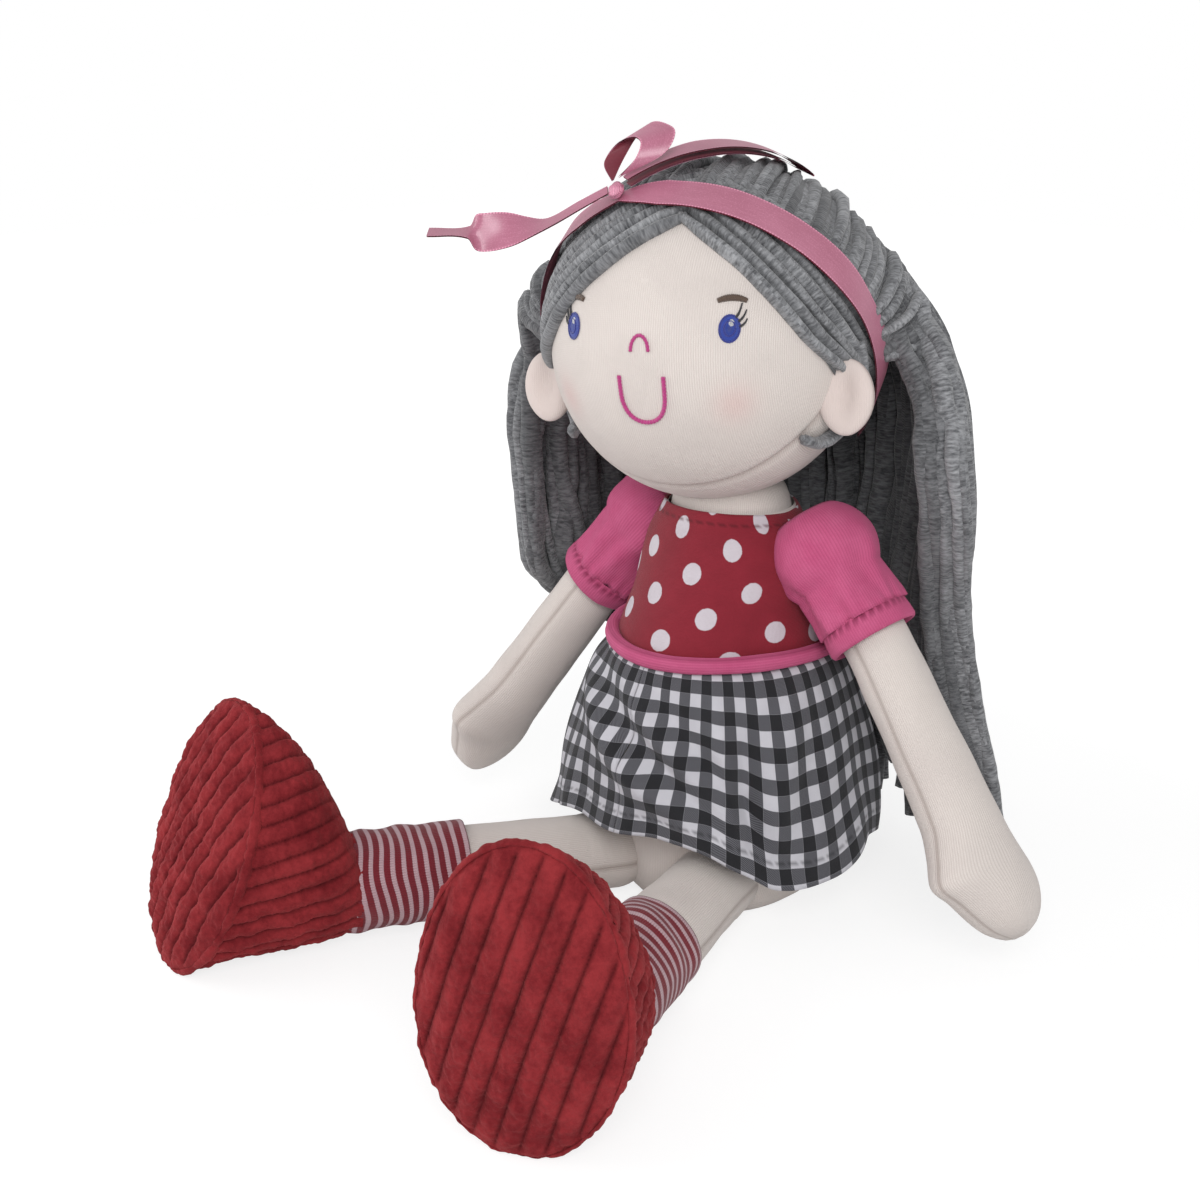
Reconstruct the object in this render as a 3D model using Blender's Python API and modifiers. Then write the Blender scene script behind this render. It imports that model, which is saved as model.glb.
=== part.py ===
"""Sitting rag doll: stuffed knit head, body and limbs, hair of jersey strips, a satin ribbon,
a dotted bodice with cap sleeves, a checked skirt, striped socks and corded-velvet shoes.

Sizes are in metres. The doll sits on the ground with its seat at the origin, faces -Y and has
+Z up, so its own left side is +X.
"""
import math

import bmesh
import bpy
from mathutils import Matrix, Vector

# Fabric, clearances and mesh fineness
GAP = 0.0003
SKIN = 0.0012
STUFFING_CLEARANCE = 0.0009
CUT_OVERRUN = 0.02
BLOCK_SIZE = 0.4
BODY_SIDES = 24
LIMB_SIDES = 16
BALL_SIDES = 24
CUTTER_SIDES = 16
DETAIL_SIDES = 12
ROD_BEVEL_STEPS = 2
OUTWARD_SHARE = 1.0

# Torso: each row is height, half width, front depth and back depth
TORSO_HEIGHT = 0.163
TORSO_HALF_WIDTH = 0.047
TORSO_FRONT_DEPTH = 0.048
TORSO_BACK_DEPTH = 0.047
TORSO_ROW_SHARES = (
    (0.00, 0.72, 0.80, 0.74),
    (0.04, 0.87, 0.90, 0.88),
    (0.14, 0.98, 0.94, 0.97),
    (0.31, 1.00, 0.95, 1.00),
    (0.48, 0.95, 1.00, 1.00),
    (0.66, 0.862, 0.98, 0.94),
    (0.72, 0.815, 0.91, 0.88),
    (0.79, 0.745, 0.80, 0.80),
    (0.86, 0.73, 0.70, 0.71),
    (0.92, 0.69, 0.62, 0.64),
    (0.965, 0.60, 0.56, 0.58),
    (1.00, 0.523, 0.512, 0.523),
)
SIDE_SEAM_SETBACK = 0.008

# Neck: a ball whose centre lies a little below the torso's top
NECK_BALL_RADIUS = 0.024
NECK_BALL_DROP = 0.005
NECK_BALL_HEIGHT = TORSO_HEIGHT - NECK_BALL_DROP

# Head
HEAD_RADIUS = 0.0605
HEAD_CENTRE_X = -0.005
HEAD_CENTRE_Y = -0.009
HEAD_RISE = 0.0685
HEAD_CENTRE_Z = NECK_BALL_HEIGHT + HEAD_RISE
HEAD_TURN = math.radians(16)
HEAD_TILT_BACK = math.radians(5)
HEAD_ROLL = math.radians(3)
HEAD_SEAM_LEAN = math.radians(22)
HEAD_SEAM_FORWARD = 0.008

# Ears
EAR_HALF_WIDTH = 0.0105
EAR_HALF_HEIGHT = 0.013
EAR_HALF_THICKNESS = 0.0036
EAR_DROP = 0.0185
EAR_OUT_SHARE = 0.52
EAR_BEHIND_SIDE = math.radians(-16)

# Embroidery on the face, with its heights as shares of the head's radius
EYE_AZIMUTH = math.radians(30)
EYE_HEIGHT_SHARE = 0.10744
EYE_HALF_WIDTH = 0.0034
EYE_HALF_HEIGHT = 0.0043
EYE_HALF_THICKNESS = 0.0007
BROW_HEIGHT_SHARE = 0.25620
BROW_HALF_LENGTH = 0.0038
BROW_RISE = 0.0010
BROW_RADIUS = 0.0010
NOSE_HEIGHT_SHARE = -0.02479
NOSE_HALF_WIDTH = 0.0034
NOSE_RISE = 0.0056
MOUTH_HEIGHT_SHARE = -0.16529
MOUTH_HALF_WIDTH = 0.0086
MOUTH_DEPTH = 0.0165
STITCH_RADIUS = 0.0006
STITCH_POINTS = 9

# Hair on the head, parted a little to the left, and the plane of the hairline each side
HAIR_THICKNESS = 0.005
PARTING_TURN = math.radians(11)
HAIRLINE_LEFT = (0.536, 0.499, 0.681)
HAIRLINE_LEFT_SHARE = 0.17
HAIRLINE_RIGHT = (-0.55, 0.33, 0.77)
HAIRLINE_RIGHT_SHARE = 0.197
HAIR_NAPE_SHARE = -0.60

# Hanging hair round the head's upright axis: each row is height, inner and outer radius,
# and at the sides also the azimuth of the front edge, counted from the back
LOCK_TOP_RISE = 0.0575
LOCK_SPLIT_DROP = 0.0585
LOCK_UPPER_TOP = HEAD_CENTRE_Z + LOCK_TOP_RISE
LOCK_SPLIT_HEIGHT = HEAD_CENTRE_Z - LOCK_SPLIT_DROP
LOCK_LOWER_END = 0.012
LOCK_REACH = 0.102
LOCK_ARC_POINTS = 5
LOCK_BACK_TO_SIDE = math.radians(42)
UPPER_BACK_SHARES = (
    (1.00, 0.353, 0.40),
    (0.88, 0.505, 0.56),
    (0.73, 0.625, 0.71),
    (0.55, 0.68, 0.85),
    (0.33, 0.68, 0.95),
    (0.00, 0.74, 1.00),
)
UPPER_LEFT_SHARES = (
    (1.00, 0.353, 0.40, 76),
    (0.88, 0.505, 0.56, 78),
    (0.73, 0.625, 0.71, 80),
    (0.55, 0.68, 0.85, 80),
    (0.33, 0.68, 0.96, 78),
    (0.00, 0.74, 1.015, 74),
)
UPPER_RIGHT_SHARES = (
    (1.00, 0.353, 0.42, 84),
    (0.88, 0.505, 0.62, 88),
    (0.73, 0.625, 0.83, 93),
    (0.55, 0.68, 1.00, 97),
    (0.33, 0.68, 1.05, 99),
    (0.00, 0.74, 1.04, 98),
)
LOWER_BACK_SHARES = (
    (1.00, 0.74, 1.00),
    (0.72, 0.77, 1.00),
    (0.55, 0.81, 1.01),
    (0.40, 0.84, 1.03),
    (0.24, 0.88, 1.06),
    (0.00, 0.92, 1.08),
)
LOWER_LEFT_SHARES = (
    (1.00, 0.74, 1.015, 70),
    (0.72, 0.77, 1.03, 61),
    (0.55, 0.81, 1.08, 57),
    (0.40, 0.85, 1.15, 56),
    (0.24, 0.90, 1.23, 55),
    (0.00, 0.96, 1.27, 55),
)
LOWER_RIGHT_SHARES = (
    (1.00, 0.74, 1.04, 98),
    (0.72, 0.83, 1.02, 96),
    (0.55, 0.955, 1.02, 93),
    (0.40, 0.95, 1.03, 75),
    (0.24, 0.92, 1.08, 70),
    (0.00, 0.94, 1.10, 62),
)

# Ribbon, and its bow: the loop's edges and the tail are shares of their lengths
RIBBON_WIDTH = 0.013
RIBBON_THICKNESS = 0.0009
BAND_LEAN = math.radians(38)
BAND_HALF_ARC = math.radians(128)
BAND_POINTS = 25
BOW_ANGLE = math.radians(-15)
KNOT_HALF_LENGTH = 0.0050
KNOT_HALF_HEIGHT = 0.0040
BOW_RIGHT = (0.719, 0.695, 0.0)
BOW_UP = (-0.215, 0.222, 0.951)
BOW_FORWARD = (0.661, -0.684, 0.309)
BOW_LOOP_LENGTH = 0.024
LOOP_NEAR_SHARES = (
    (0.00, 0.04, 0.00),
    (-0.11, 0.29, -0.13),
    (-0.07, 0.47, -0.24),
    (0.11, 0.66, -0.20),
    (0.33, 0.68, 0.00),
    (0.42, 0.54, 0.17),
    (0.33, 0.30, 0.19),
    (0.09, 0.07, 0.05),
)
LOOP_FAR_SHARES = (
    (0.03, 0.06, -0.02),
    (0.17, 0.42, -0.27),
    (0.38, 0.79, -0.34),
    (0.60, 0.97, -0.24),
    (0.82, 0.88, -0.03),
    (0.93, 0.70, 0.15),
    (0.75, 0.38, 0.19),
    (0.15, 0.11, 0.05),
)
BACK_LOOP_GOAL = (0.33, 0.36, 0.87)
BACK_LOOP_ARC = math.radians(64)
BACK_LOOP_REST = 0.0033
BACK_LOOP_LIFT = 0.0055
BACK_LOOP_POINTS = 13
TAIL_LENGTH = 0.062
TAIL_DROP = 0.0147
TAIL_DIRECTION = (-0.72, -0.69, 0.0)
TAIL_POINTS = 33
TAIL_ROW_SHARES = (
    (0.00, 0.00, 0.45),
    (0.15, 0.35, 0.60),
    (0.33, 0.78, 0.85),
    (0.45, 0.90, 1.00),
    (0.65, 1.00, 1.00),
    (1.00, 1.00, 1.00),
)
TAIL_TWIST_DEGREES = (
    (0.00, 25),
    (0.33, 14),
    (0.45, 32),
    (0.55, 62),
    (0.65, 76),
    (0.73, 60),
    (0.84, 20),
    (1.00, 12),
)

# Bodice, waist and skirt
BODICE_BOTTOM = 0.1135
BODICE_TOP = 0.162
PIPING_HEIGHT = 0.1100
PIPING_RADIUS = 0.0027
SKIRT_TOP = 0.1060
SKIRT_ROWS = 8
SKIRT_COLUMNS = 15
SKIRT_HEM_REACH = 0.065
SKIRT_HEM_HEIGHT = 0.040
SKIRT_HEM_SHARES = (
    (-180, 0.92, 0.30),
    (-130, 0.98, 0.45),
    (-90, 1.06, 0.66),
    (-70, 1.15, 0.64),
    (-55, 1.16, 0.70),
    (-42, 1.06, 0.84),
    (-28, 1.00, 0.98),
    (-10, 0.99, 1.01),
    (18, 1.00, 1.10),
    (34, 1.00, 1.03),
    (45, 1.01, 0.86),
    (58, 1.02, 0.63),
    (80, 1.02, 0.63),
    (100, 1.00, 0.80),
    (130, 0.98, 0.60),
    (180, 0.92, 0.30),
)
SKIRT_FLARE_POWER = 0.6
SKIRT_FOLD_COUNT = 11
SKIRT_FOLD_DEPTH = 0.0018
SKIRT_SEAM_GAP = 0.0004

# Shoulders and arms
SHOULDER_X = 0.043
SHOULDER_Y = 0.005
SHOULDER_Z = 0.148
SHOULDER_BALL_RADIUS = 0.020
SLEEVE_DIRECTION_LEFT = (0.656, 0.0, -0.755)
SLEEVE_DIRECTION_RIGHT = (-0.640, -0.18, -0.747)
ARM_DIRECTION_LEFT = (0.56, 0.0, -0.83)
ARM_DIRECTION_RIGHT = (-0.520, -0.24, -0.820)
ARM_BEND_PLACE = 0.040
ARM_LENGTH = 0.160
ARM_RADIUS = 0.0125
ARM_ROOT_SETBACK = 0.0136
ARM_ROOT_SHARE = 0.98
ARM_STUFFING_SHARE = 0.95
ARM_ROW_SHARES = (
    (0.10, 1.00, 1.00, 1.00),
    (0.28, 1.04, 1.04, 1.04),
    (0.50, 1.18, 1.14, 1.08),
    (0.68, 1.30, 1.22, 1.12),
    (0.75, 1.70, 1.30, 1.14),
    (0.81, 1.98, 1.50, 1.16),
    (0.87, 1.62, 1.66, 1.12),
    (0.925, 0.92, 1.66, 0.98),
    (0.965, 0.38, 1.42, 0.72),
    (0.985, 0.10, 1.12, 0.52),
)
SLEEVE_RADIUS = 0.0165
SLEEVE_LENGTH_LEFT = 0.0285
SLEEVE_LENGTH_RIGHT = 0.0345
SLEEVE_HEM_LENGTH = 0.0075
SLEEVE_HEM_SPREAD = 0.0005
SLEEVE_ROOT_RADIUS = 0.009
SLEEVE_ARC_POINTS = 6
SEAM_RING_RADIUS = 0.0011
SEAM_RING_ANGLE = math.radians(144)
HIP_RING_ANGLE = math.radians(162)

# Hips and legs
HIP_X = 0.024
HIP_Y_LEFT = -0.031
HIP_Y_RIGHT = -0.043
HIP_Z = 0.0175
HIP_BALL_RADIUS = 0.016
LEG_SPLAY_LEFT = math.radians(18)
LEG_SPLAY_RIGHT = math.radians(25)
LEG_RISE = math.radians(3)
HIP_SWING_UP = math.radians(40)
LAP_REACH = 0.070
THIGH_RADIUS = 0.0152
SOCK_START = 0.064
ANKLE = 0.109
SOCK_RADIUS = 0.0192
LEG_HOLE_ANGLE = math.radians(24)
LEG_DOME_STEPS = 4
LEG_ROW_SHARES = (
    (0.12, 1.03),
    (0.35, 1.07),
    (0.55, 1.12),
    (0.80, 1.10),
    (1.00, 1.08),
)

# Shoes
SOLE_DISTANCE_LEFT = 0.165
SOLE_DISTANCE_RIGHT = 0.177
SOLE_LENGTH = 0.106
SOLE_WIDTH = 0.074
SOLE_THICKNESS = 0.003
SOLE_WAIST_SHARE = 0.46
SOLE_BULGE = 0.0035
SOLE_CROWN_SHARES = ((0.8, 0.55), (0.4, 0.92))
SHOE_TURN_LEFT = math.radians(10)
SHOE_TURN_RIGHT = math.radians(16)
SHOE_LEAN_LEFT = math.radians(-2)
SHOE_LEAN_RIGHT = math.radians(-20)
SHOE_ROLL_LEFT = math.radians(0)
SHOE_ROLL_RIGHT = math.radians(8)
SHOE_GROWTH_SHARES = (
    (0.00, 0.00),
    (0.10, 0.21),
    (0.24, 0.42),
    (0.42, 0.62),
    (0.64, 0.80),
    (0.84, 0.93),
    (1.00, 1.00),
)

CREAM = (0.80, 0.70, 0.62)
STUFFING_WHITE = (0.85, 0.85, 0.83)
HAIR_GREY = (0.16, 0.17, 0.18)
DUSTY_PINK = (0.42, 0.09, 0.14)
RED = (0.36, 0.01, 0.02)
PINK = (0.62, 0.08, 0.22)
CHECK_GREY = (0.20, 0.20, 0.22)
BLUE = (0.02, 0.05, 0.38)
BROWN = (0.08, 0.04, 0.02)
MAGENTA = (0.50, 0.03, 0.16)
SOCK_RED = (0.42, 0.06, 0.09)
SHOE_RED = (0.32, 0.015, 0.02)
CLOTH_ROUGHNESS = 0.9
THREAD_ROUGHNESS = 0.7
SATIN_ROUGHNESS = 0.45


def clear_scene():
    for old in list(bpy.data.objects):
        bpy.data.objects.remove(old, do_unlink=True)


def collection(name):
    made = bpy.data.collections.new(name)
    bpy.context.scene.collection.children.link(made)
    return made


def finish_material(name, colour, roughness):
    made = bpy.data.materials.new(name)
    made.use_nodes = True
    shader = made.node_tree.nodes["Principled BSDF"]
    shader.inputs["Base Color"].default_value = (*colour, 1.0)
    shader.inputs["Roughness"].default_value = roughness
    shader.inputs["Metallic"].default_value = 0.0
    return made


def add_object(name, data, colour, roughness=CLOTH_ROUGHNESS):
    made = bpy.data.objects.new(name, data)
    data.materials.append(finish_material(name + "_finish", colour, roughness))
    PARTS.objects.link(made)
    return made


def mesh_from(bm, name):
    mesh = bpy.data.meshes.new(name)
    bm.to_mesh(mesh)
    bm.free()
    mesh.shade_smooth()
    return mesh


def add_cutter(name, bm):
    made = bpy.data.objects.new(name, mesh_from(bm, name))
    CUTTERS.objects.link(made)
    made.hide_render = True
    made.display_type = "WIRE"
    return made


def cut(target, cutter):
    modifier = target.modifiers.new("cut_" + cutter.name, "BOOLEAN")
    modifier.operation = "DIFFERENCE"
    modifier.solver = "EXACT"
    modifier.object = cutter


def thicken(target, thickness, outward=False):
    modifier = target.modifiers.new("fabric", "SOLIDIFY")
    modifier.thickness = thickness
    modifier.offset = OUTWARD_SHARE if outward else -OUTWARD_SHARE
    modifier.use_even_offset = False


def skin_rings(rings, first_pole=None, last_pole=None):
    """A closed surface over rings of points, capped with a fan to a pole or with one face."""
    bm = bmesh.new()
    loops = [[bm.verts.new(point) for point in ring] for ring in rings]
    count = len(rings[0])
    for near, far in zip(loops, loops[1:]):
        for i in range(count):
            j = (i + 1) % count
            bm.faces.new((near[i], near[j], far[j], far[i]))
    for loop, pole in ((loops[0], first_pole), (loops[-1], last_pole)):
        if pole is None:
            bm.faces.new(loop)
            continue
        tip = bm.verts.new(pole)
        for i in range(count):
            bm.faces.new((loop[i], loop[(i + 1) % count], tip))
    bmesh.ops.recalc_face_normals(bm, faces=bm.faces)
    bm.normal_update()
    return bm


def open_ends(bm, *places):
    """Takes away the cap face or the pole fan at each place, which opens the surface."""
    for place in places:
        spot = Vector(place)
        poles = [v for v in bm.verts if (v.co - spot).length < GAP]
        if poles:
            bmesh.ops.delete(bm, geom=poles, context="VERTS")
            continue
        caps = [f for f in bm.faces if (f.calc_center_median() - spot).length < GAP and len(f.verts) > 4]
        bmesh.ops.delete(bm, geom=caps, context="FACES_ONLY")


def inset(bm, depth):
    """Moves every point inward along its normal, for what lies inside a skin."""
    bm.normal_update()
    moves = [(v, v.normal * depth) for v in bm.verts]
    for vert, move in moves:
        vert.co -= move


def block_beyond(name, point, normal):
    """A block that fills the far side of a plane, the side that the normal points away from."""
    bm = bmesh.new()
    bmesh.ops.create_cube(bm, size=BLOCK_SIZE)
    turn = Vector(normal).to_track_quat("Z", "Y").to_matrix()
    centre = Vector(point) - Vector(normal).normalized() * BLOCK_SIZE / 2
    bmesh.ops.transform(bm, verts=bm.verts, matrix=Matrix.Translation(centre) @ turn.to_4x4())
    return add_cutter(name, bm)


def ball(radius, centre, sides=BALL_SIDES):
    bm = bmesh.new()
    bmesh.ops.create_uvsphere(bm, u_segments=sides, v_segments=sides // 2, radius=radius)
    bmesh.ops.translate(bm, verts=bm.verts, vec=centre)
    return bm


def oval_ball(half_x, half_y, half_z):
    """A small ball stretched to the three half sizes, for the ears, the eyes and the knot."""
    bm = ball(half_x, (0, 0, 0), DETAIL_SIDES)
    bmesh.ops.scale(bm, verts=bm.verts, vec=(1, half_y / half_x, half_z / half_x))
    return bm


def clear_radius(radius, sides=CUTTER_SIDES):
    """Radius of a faceted cutter whose flats stay one gap outside a round of the given radius."""
    return (radius + GAP) / math.cos(math.pi / sides) ** 2


def inner_radius(radius, sides):
    """Radius of a round that keeps one gap inside the flats of a faceted shell."""
    return radius * math.cos(math.pi / sides) ** 2 - GAP


def room_ball(name, radius, centre):
    return add_cutter(name, ball(clear_radius(radius), centre, CUTTER_SIDES))


def oval_ring(centre, side, up, half_width, up_reach, down_reach, count):
    """An oval whose reach along up differs above and below its centre."""
    points = []
    for i in range(count):
        angle = math.tau * i / count
        rise = math.sin(angle)
        reach = up_reach if rise > 0 else down_reach
        points.append(centre + side * (half_width * math.cos(angle)) + up * (reach * rise))
    return points


def interpolate(rows, position):
    """Values of a table, whose first column is the position, by straight lines between rows."""
    if position <= rows[0][0]:
        return rows[0][1:]
    for low, high in zip(rows, rows[1:]):
        if position <= high[0]:
            share = (position - low[0]) / (high[0] - low[0])
            return tuple(a + (b - a) * share for a, b in zip(low[1:], high[1:]))
    return rows[-1][1:]


def rod(name, points, radius, colour, cyclic=False, roughness=THREAD_ROUGHNESS):
    """A round thread or roll along the points."""
    curve = bpy.data.curves.new(name, "CURVE")
    curve.dimensions = "3D"
    curve.bevel_depth = radius
    curve.bevel_resolution = ROD_BEVEL_STEPS
    curve.use_fill_caps = not cyclic
    spline = curve.splines.new("POLY")
    spline.points.add(len(points[1:]))
    for spot, point in zip(spline.points, points):
        spot.co = (*point, 1.0)
    spline.use_cyclic_u = cyclic
    return add_object(name, curve, colour, roughness)


def strip(name, centres, across, thick, colour, roughness=SATIN_ROUGHNESS):
    """A flat ribbon: at each centre, across is its width vector and thick its thickness vector."""
    rings = []
    for centre, wide, deep in zip(centres, across, thick):
        half = wide / 2
        rings.append([centre - half, centre + half, centre + half + deep, centre - half + deep])
    return add_object(name, mesh_from(skin_rings(rings), name), colour, roughness)


def torso_reach(height):
    half, front, back = interpolate(TORSO_ROW_SHARES, height / TORSO_HEIGHT)
    return half * TORSO_HALF_WIDTH, front * TORSO_FRONT_DEPTH, back * TORSO_BACK_DEPTH


def torso_ring(height, spread=0.0, sides=BODY_SIDES):
    half, front, back = torso_reach(height)
    centre = Vector((0, 0, height))
    reaches = (half + spread, front + spread, back + spread)
    return oval_ring(centre, Vector((1, 0, 0)), Vector((0, -1, 0)), *reaches, sides)


def torso_form(sides=BODY_SIDES):
    rings = [torso_ring(row[0] * TORSO_HEIGHT, 0.0, sides) for row in TORSO_ROW_SHARES]
    return skin_rings(rings, Vector((0, 0, 0)), Vector((0, 0, TORSO_HEIGHT)))


def limb_cutters():
    """What the torso gives room to: the neck, the shoulders, and the thighs as they swing."""
    cutters = [room_ball("neck_room", NECK_BALL_RADIUS, (0, 0, NECK_BALL_HEIGHT))]
    for side, sign in SIDES:
        shoulder = shoulder_point(sign)
        cutters.append(room_ball("shoulder_room_" + side, SHOULDER_BALL_RADIUS, shoulder))
        room = ring_room("armhole_room_" + side, shoulder, sign, SHOULDER_BALL_RADIUS, SEAM_RING_ANGLE)
        cutters.append(room)
        cutters.append(lap_room(side, sign))
    return cutters


def lap_room(side, sign):
    """The space the thigh sweeps, from hanging straight down to lifted: a round-backed wedge."""
    radius = clear_radius(HIP_BALL_RADIUS)
    hip = hip_point(sign)
    front = hip.y - LAP_REACH
    outline = [Vector((0, front, -CUT_OVERRUN)), Vector((0, hip.y + radius, -CUT_OVERRUN))]
    steps = CUTTER_SIDES // 2
    for i in range(steps + 1):
        angle = (math.pi / 2 - HIP_SWING_UP) * i / steps
        outline.append(Vector((0, hip.y + radius * math.cos(angle), HIP_Z + radius * math.sin(angle))))
    rise = Vector((0, -math.cos(HIP_SWING_UP), math.sin(HIP_SWING_UP)))
    outline.append(outline[-1] + rise * LAP_REACH)
    outline.append(Vector((0, front, outline[-1].z)))
    ring_inner = HIP_X + (HIP_BALL_RADIUS + GAP + SEAM_RING_RADIUS) * math.cos(HIP_RING_ANGLE)
    inner = ring_inner - SEAM_RING_RADIUS - GAP
    rings = [[point + Vector((sign * x, 0, 0)) for point in outline] for x in (inner, inner + LAP_REACH)]
    return add_cutter("lap_room_" + side, skin_rings(rings))


def ring_place(pivot, sign, ball_radius, angle):
    """Centre and radius of a seam ring that turns about X and hugs a ball at the given angle."""
    reach = ball_radius + GAP + SEAM_RING_RADIUS
    centre = pivot + Vector((sign * reach * math.cos(angle), 0, 0))
    return centre, reach * math.sin(angle)


def seam_torus(centre, ring_radius, wire_radius, name):
    bpy.ops.mesh.primitive_torus_add(
        major_segments=DETAIL_SIDES,
        minor_segments=DETAIL_SIDES // 2,
        major_radius=ring_radius,
        minor_radius=wire_radius,
        location=centre,
        rotation=(0, math.pi / 2, 0),
    )
    made = bpy.context.object
    made.name = name
    for holder in list(made.users_collection):
        holder.objects.unlink(made)
    return made


def ring_room(name, pivot, sign, ball_radius, angle):
    centre, ring_radius = ring_place(pivot, sign, ball_radius, angle)
    made = seam_torus(centre, ring_radius, clear_radius(SEAM_RING_RADIUS, DETAIL_SIDES // 2), name)
    CUTTERS.objects.link(made)
    made.hide_render = True
    made.display_type = "WIRE"
    return made


def seam_ring(name, pivot, sign, ball_radius, angle):
    centre, ring_radius = ring_place(pivot, sign, ball_radius, angle)
    made = seam_torus(centre, ring_radius, SEAM_RING_RADIUS, name)
    made.data.name = name
    made.data.materials.append(finish_material(name + "_finish", CREAM, CLOTH_ROUGHNESS))
    made.data.shade_smooth()
    PARTS.objects.link(made)
    return made


def shoulder_point(sign):
    return Vector((sign * SHOULDER_X, SHOULDER_Y, SHOULDER_Z))


def hip_point(sign):
    return Vector((sign * HIP_X, HIP_Y_LEFT if sign > 0 else HIP_Y_RIGHT, HIP_Z))


def make_torso(cutters):
    seam = Vector((0, -SIDE_SEAM_SETBACK, 0))
    forward = Vector((0, -1, 0))
    for name, direction in (("torso_front_panel", forward), ("torso_back_panel", -forward)):
        panel = add_object(name, mesh_from(torso_form(), name), CREAM)
        thicken(panel, SKIN)
        cut(panel, block_beyond(name + "_end", seam + direction * GAP / 2, direction))
        for cutter in cutters:
            cut(panel, cutter)
    bm = torso_form(BODY_SIDES // 2)
    inset(bm, SKIN + STUFFING_CLEARANCE)
    stuffing = add_object("torso_stuffing", mesh_from(bm, "torso_stuffing"), STUFFING_WHITE)
    for cutter in cutters:
        cut(stuffing, cutter)


def make_neck():
    place = Vector((0, 0, NECK_BALL_HEIGHT))
    add_object("neck", mesh_from(ball(NECK_BALL_RADIUS, Vector((0, 0, 0))), "neck"), CREAM).location = place


def head_matrix():
    turn = (
        Matrix.Rotation(HEAD_TURN, 4, "Z")
        @ Matrix.Rotation(-HEAD_TILT_BACK, 4, "X")
        @ Matrix.Rotation(-HEAD_ROLL, 4, "Y")
    )
    return Matrix.Translation((HEAD_CENTRE_X, HEAD_CENTRE_Y, HEAD_CENTRE_Z)) @ turn


def face_point(sideways, height, lift):
    """A point over the face, from its distance to the side and above the middle."""
    radius = HEAD_RADIUS + lift
    forward = math.sqrt(HEAD_RADIUS ** 2 - sideways ** 2 - height ** 2)
    return Vector((sideways, -forward, height)) * (radius / HEAD_RADIUS)


def make_head(head):
    neck = room_ball("head_neck_room", NECK_BALL_RADIUS, (0, 0, NECK_BALL_HEIGHT))
    lean = Vector((0, -math.cos(HEAD_SEAM_LEAN), math.sin(HEAD_SEAM_LEAN)))
    for name, direction in (("face_panel", lean), ("head_back_panel", -lean)):
        panel = add_object(name, mesh_from(ball(HEAD_RADIUS, (0, 0, 0)), name), CREAM)
        panel.matrix_world = head
        thicken(panel, SKIN)
        seam = block_beyond(name + "_end", lean * HEAD_SEAM_FORWARD + direction * GAP / 2, direction)
        seam.matrix_world = head
        cut(panel, seam)
        cut(panel, neck)
    filling = ball(inner_radius(HEAD_RADIUS - SKIN, BALL_SIDES), (0, 0, 0), LIMB_SIDES)
    stuffing = add_object("head_stuffing", mesh_from(filling, "head_stuffing"), STUFFING_WHITE)
    stuffing.matrix_world = head
    cut(stuffing, neck)


def ear_place(sign):
    """Centre of an ear, which lies in the head seam."""
    across = math.sqrt(HEAD_RADIUS ** 2 - EAR_DROP ** 2) + EAR_HALF_WIDTH * EAR_OUT_SHARE
    return Vector((sign * across * math.cos(EAR_BEHIND_SIDE), across * math.sin(EAR_BEHIND_SIDE), -EAR_DROP))


def ear_form(sign, spread):
    bm = oval_ball(EAR_HALF_WIDTH + spread, EAR_HALF_THICKNESS + spread, EAR_HALF_HEIGHT + spread)
    bmesh.ops.translate(bm, verts=bm.verts, vec=ear_place(sign))
    return bm


def make_ears(head):
    skull = add_cutter("ear_head_room", ball(clear_radius(HEAD_RADIUS, BALL_SIDES), (0, 0, 0)))
    skull.matrix_world = head
    for side, sign in SIDES:
        name = "ear_" + side
        ear = add_object(name, mesh_from(ear_form(sign, 0.0), name), CREAM)
        ear.matrix_world = head
        cut(ear, skull)


def brow_points(sign, sideways):
    """The brow's thread over an eye, as far as it lies clear of the hairline."""
    hairline, reach = hairline_plane(sign)
    points = []
    for i in range(STITCH_POINTS):
        share = 2 * i / (STITCH_POINTS - 1) - 1
        rise = BROW_RISE * (1 - share ** 2)
        height = BROW_HEIGHT_SHARE * HEAD_RADIUS + rise
        spot = face_point(sideways + BROW_HALF_LENGTH * share, height, BROW_RADIUS + GAP)
        if hairline.dot(spot) < reach - BROW_RADIUS - GAP:
            points.append(spot)
    return points


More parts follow.
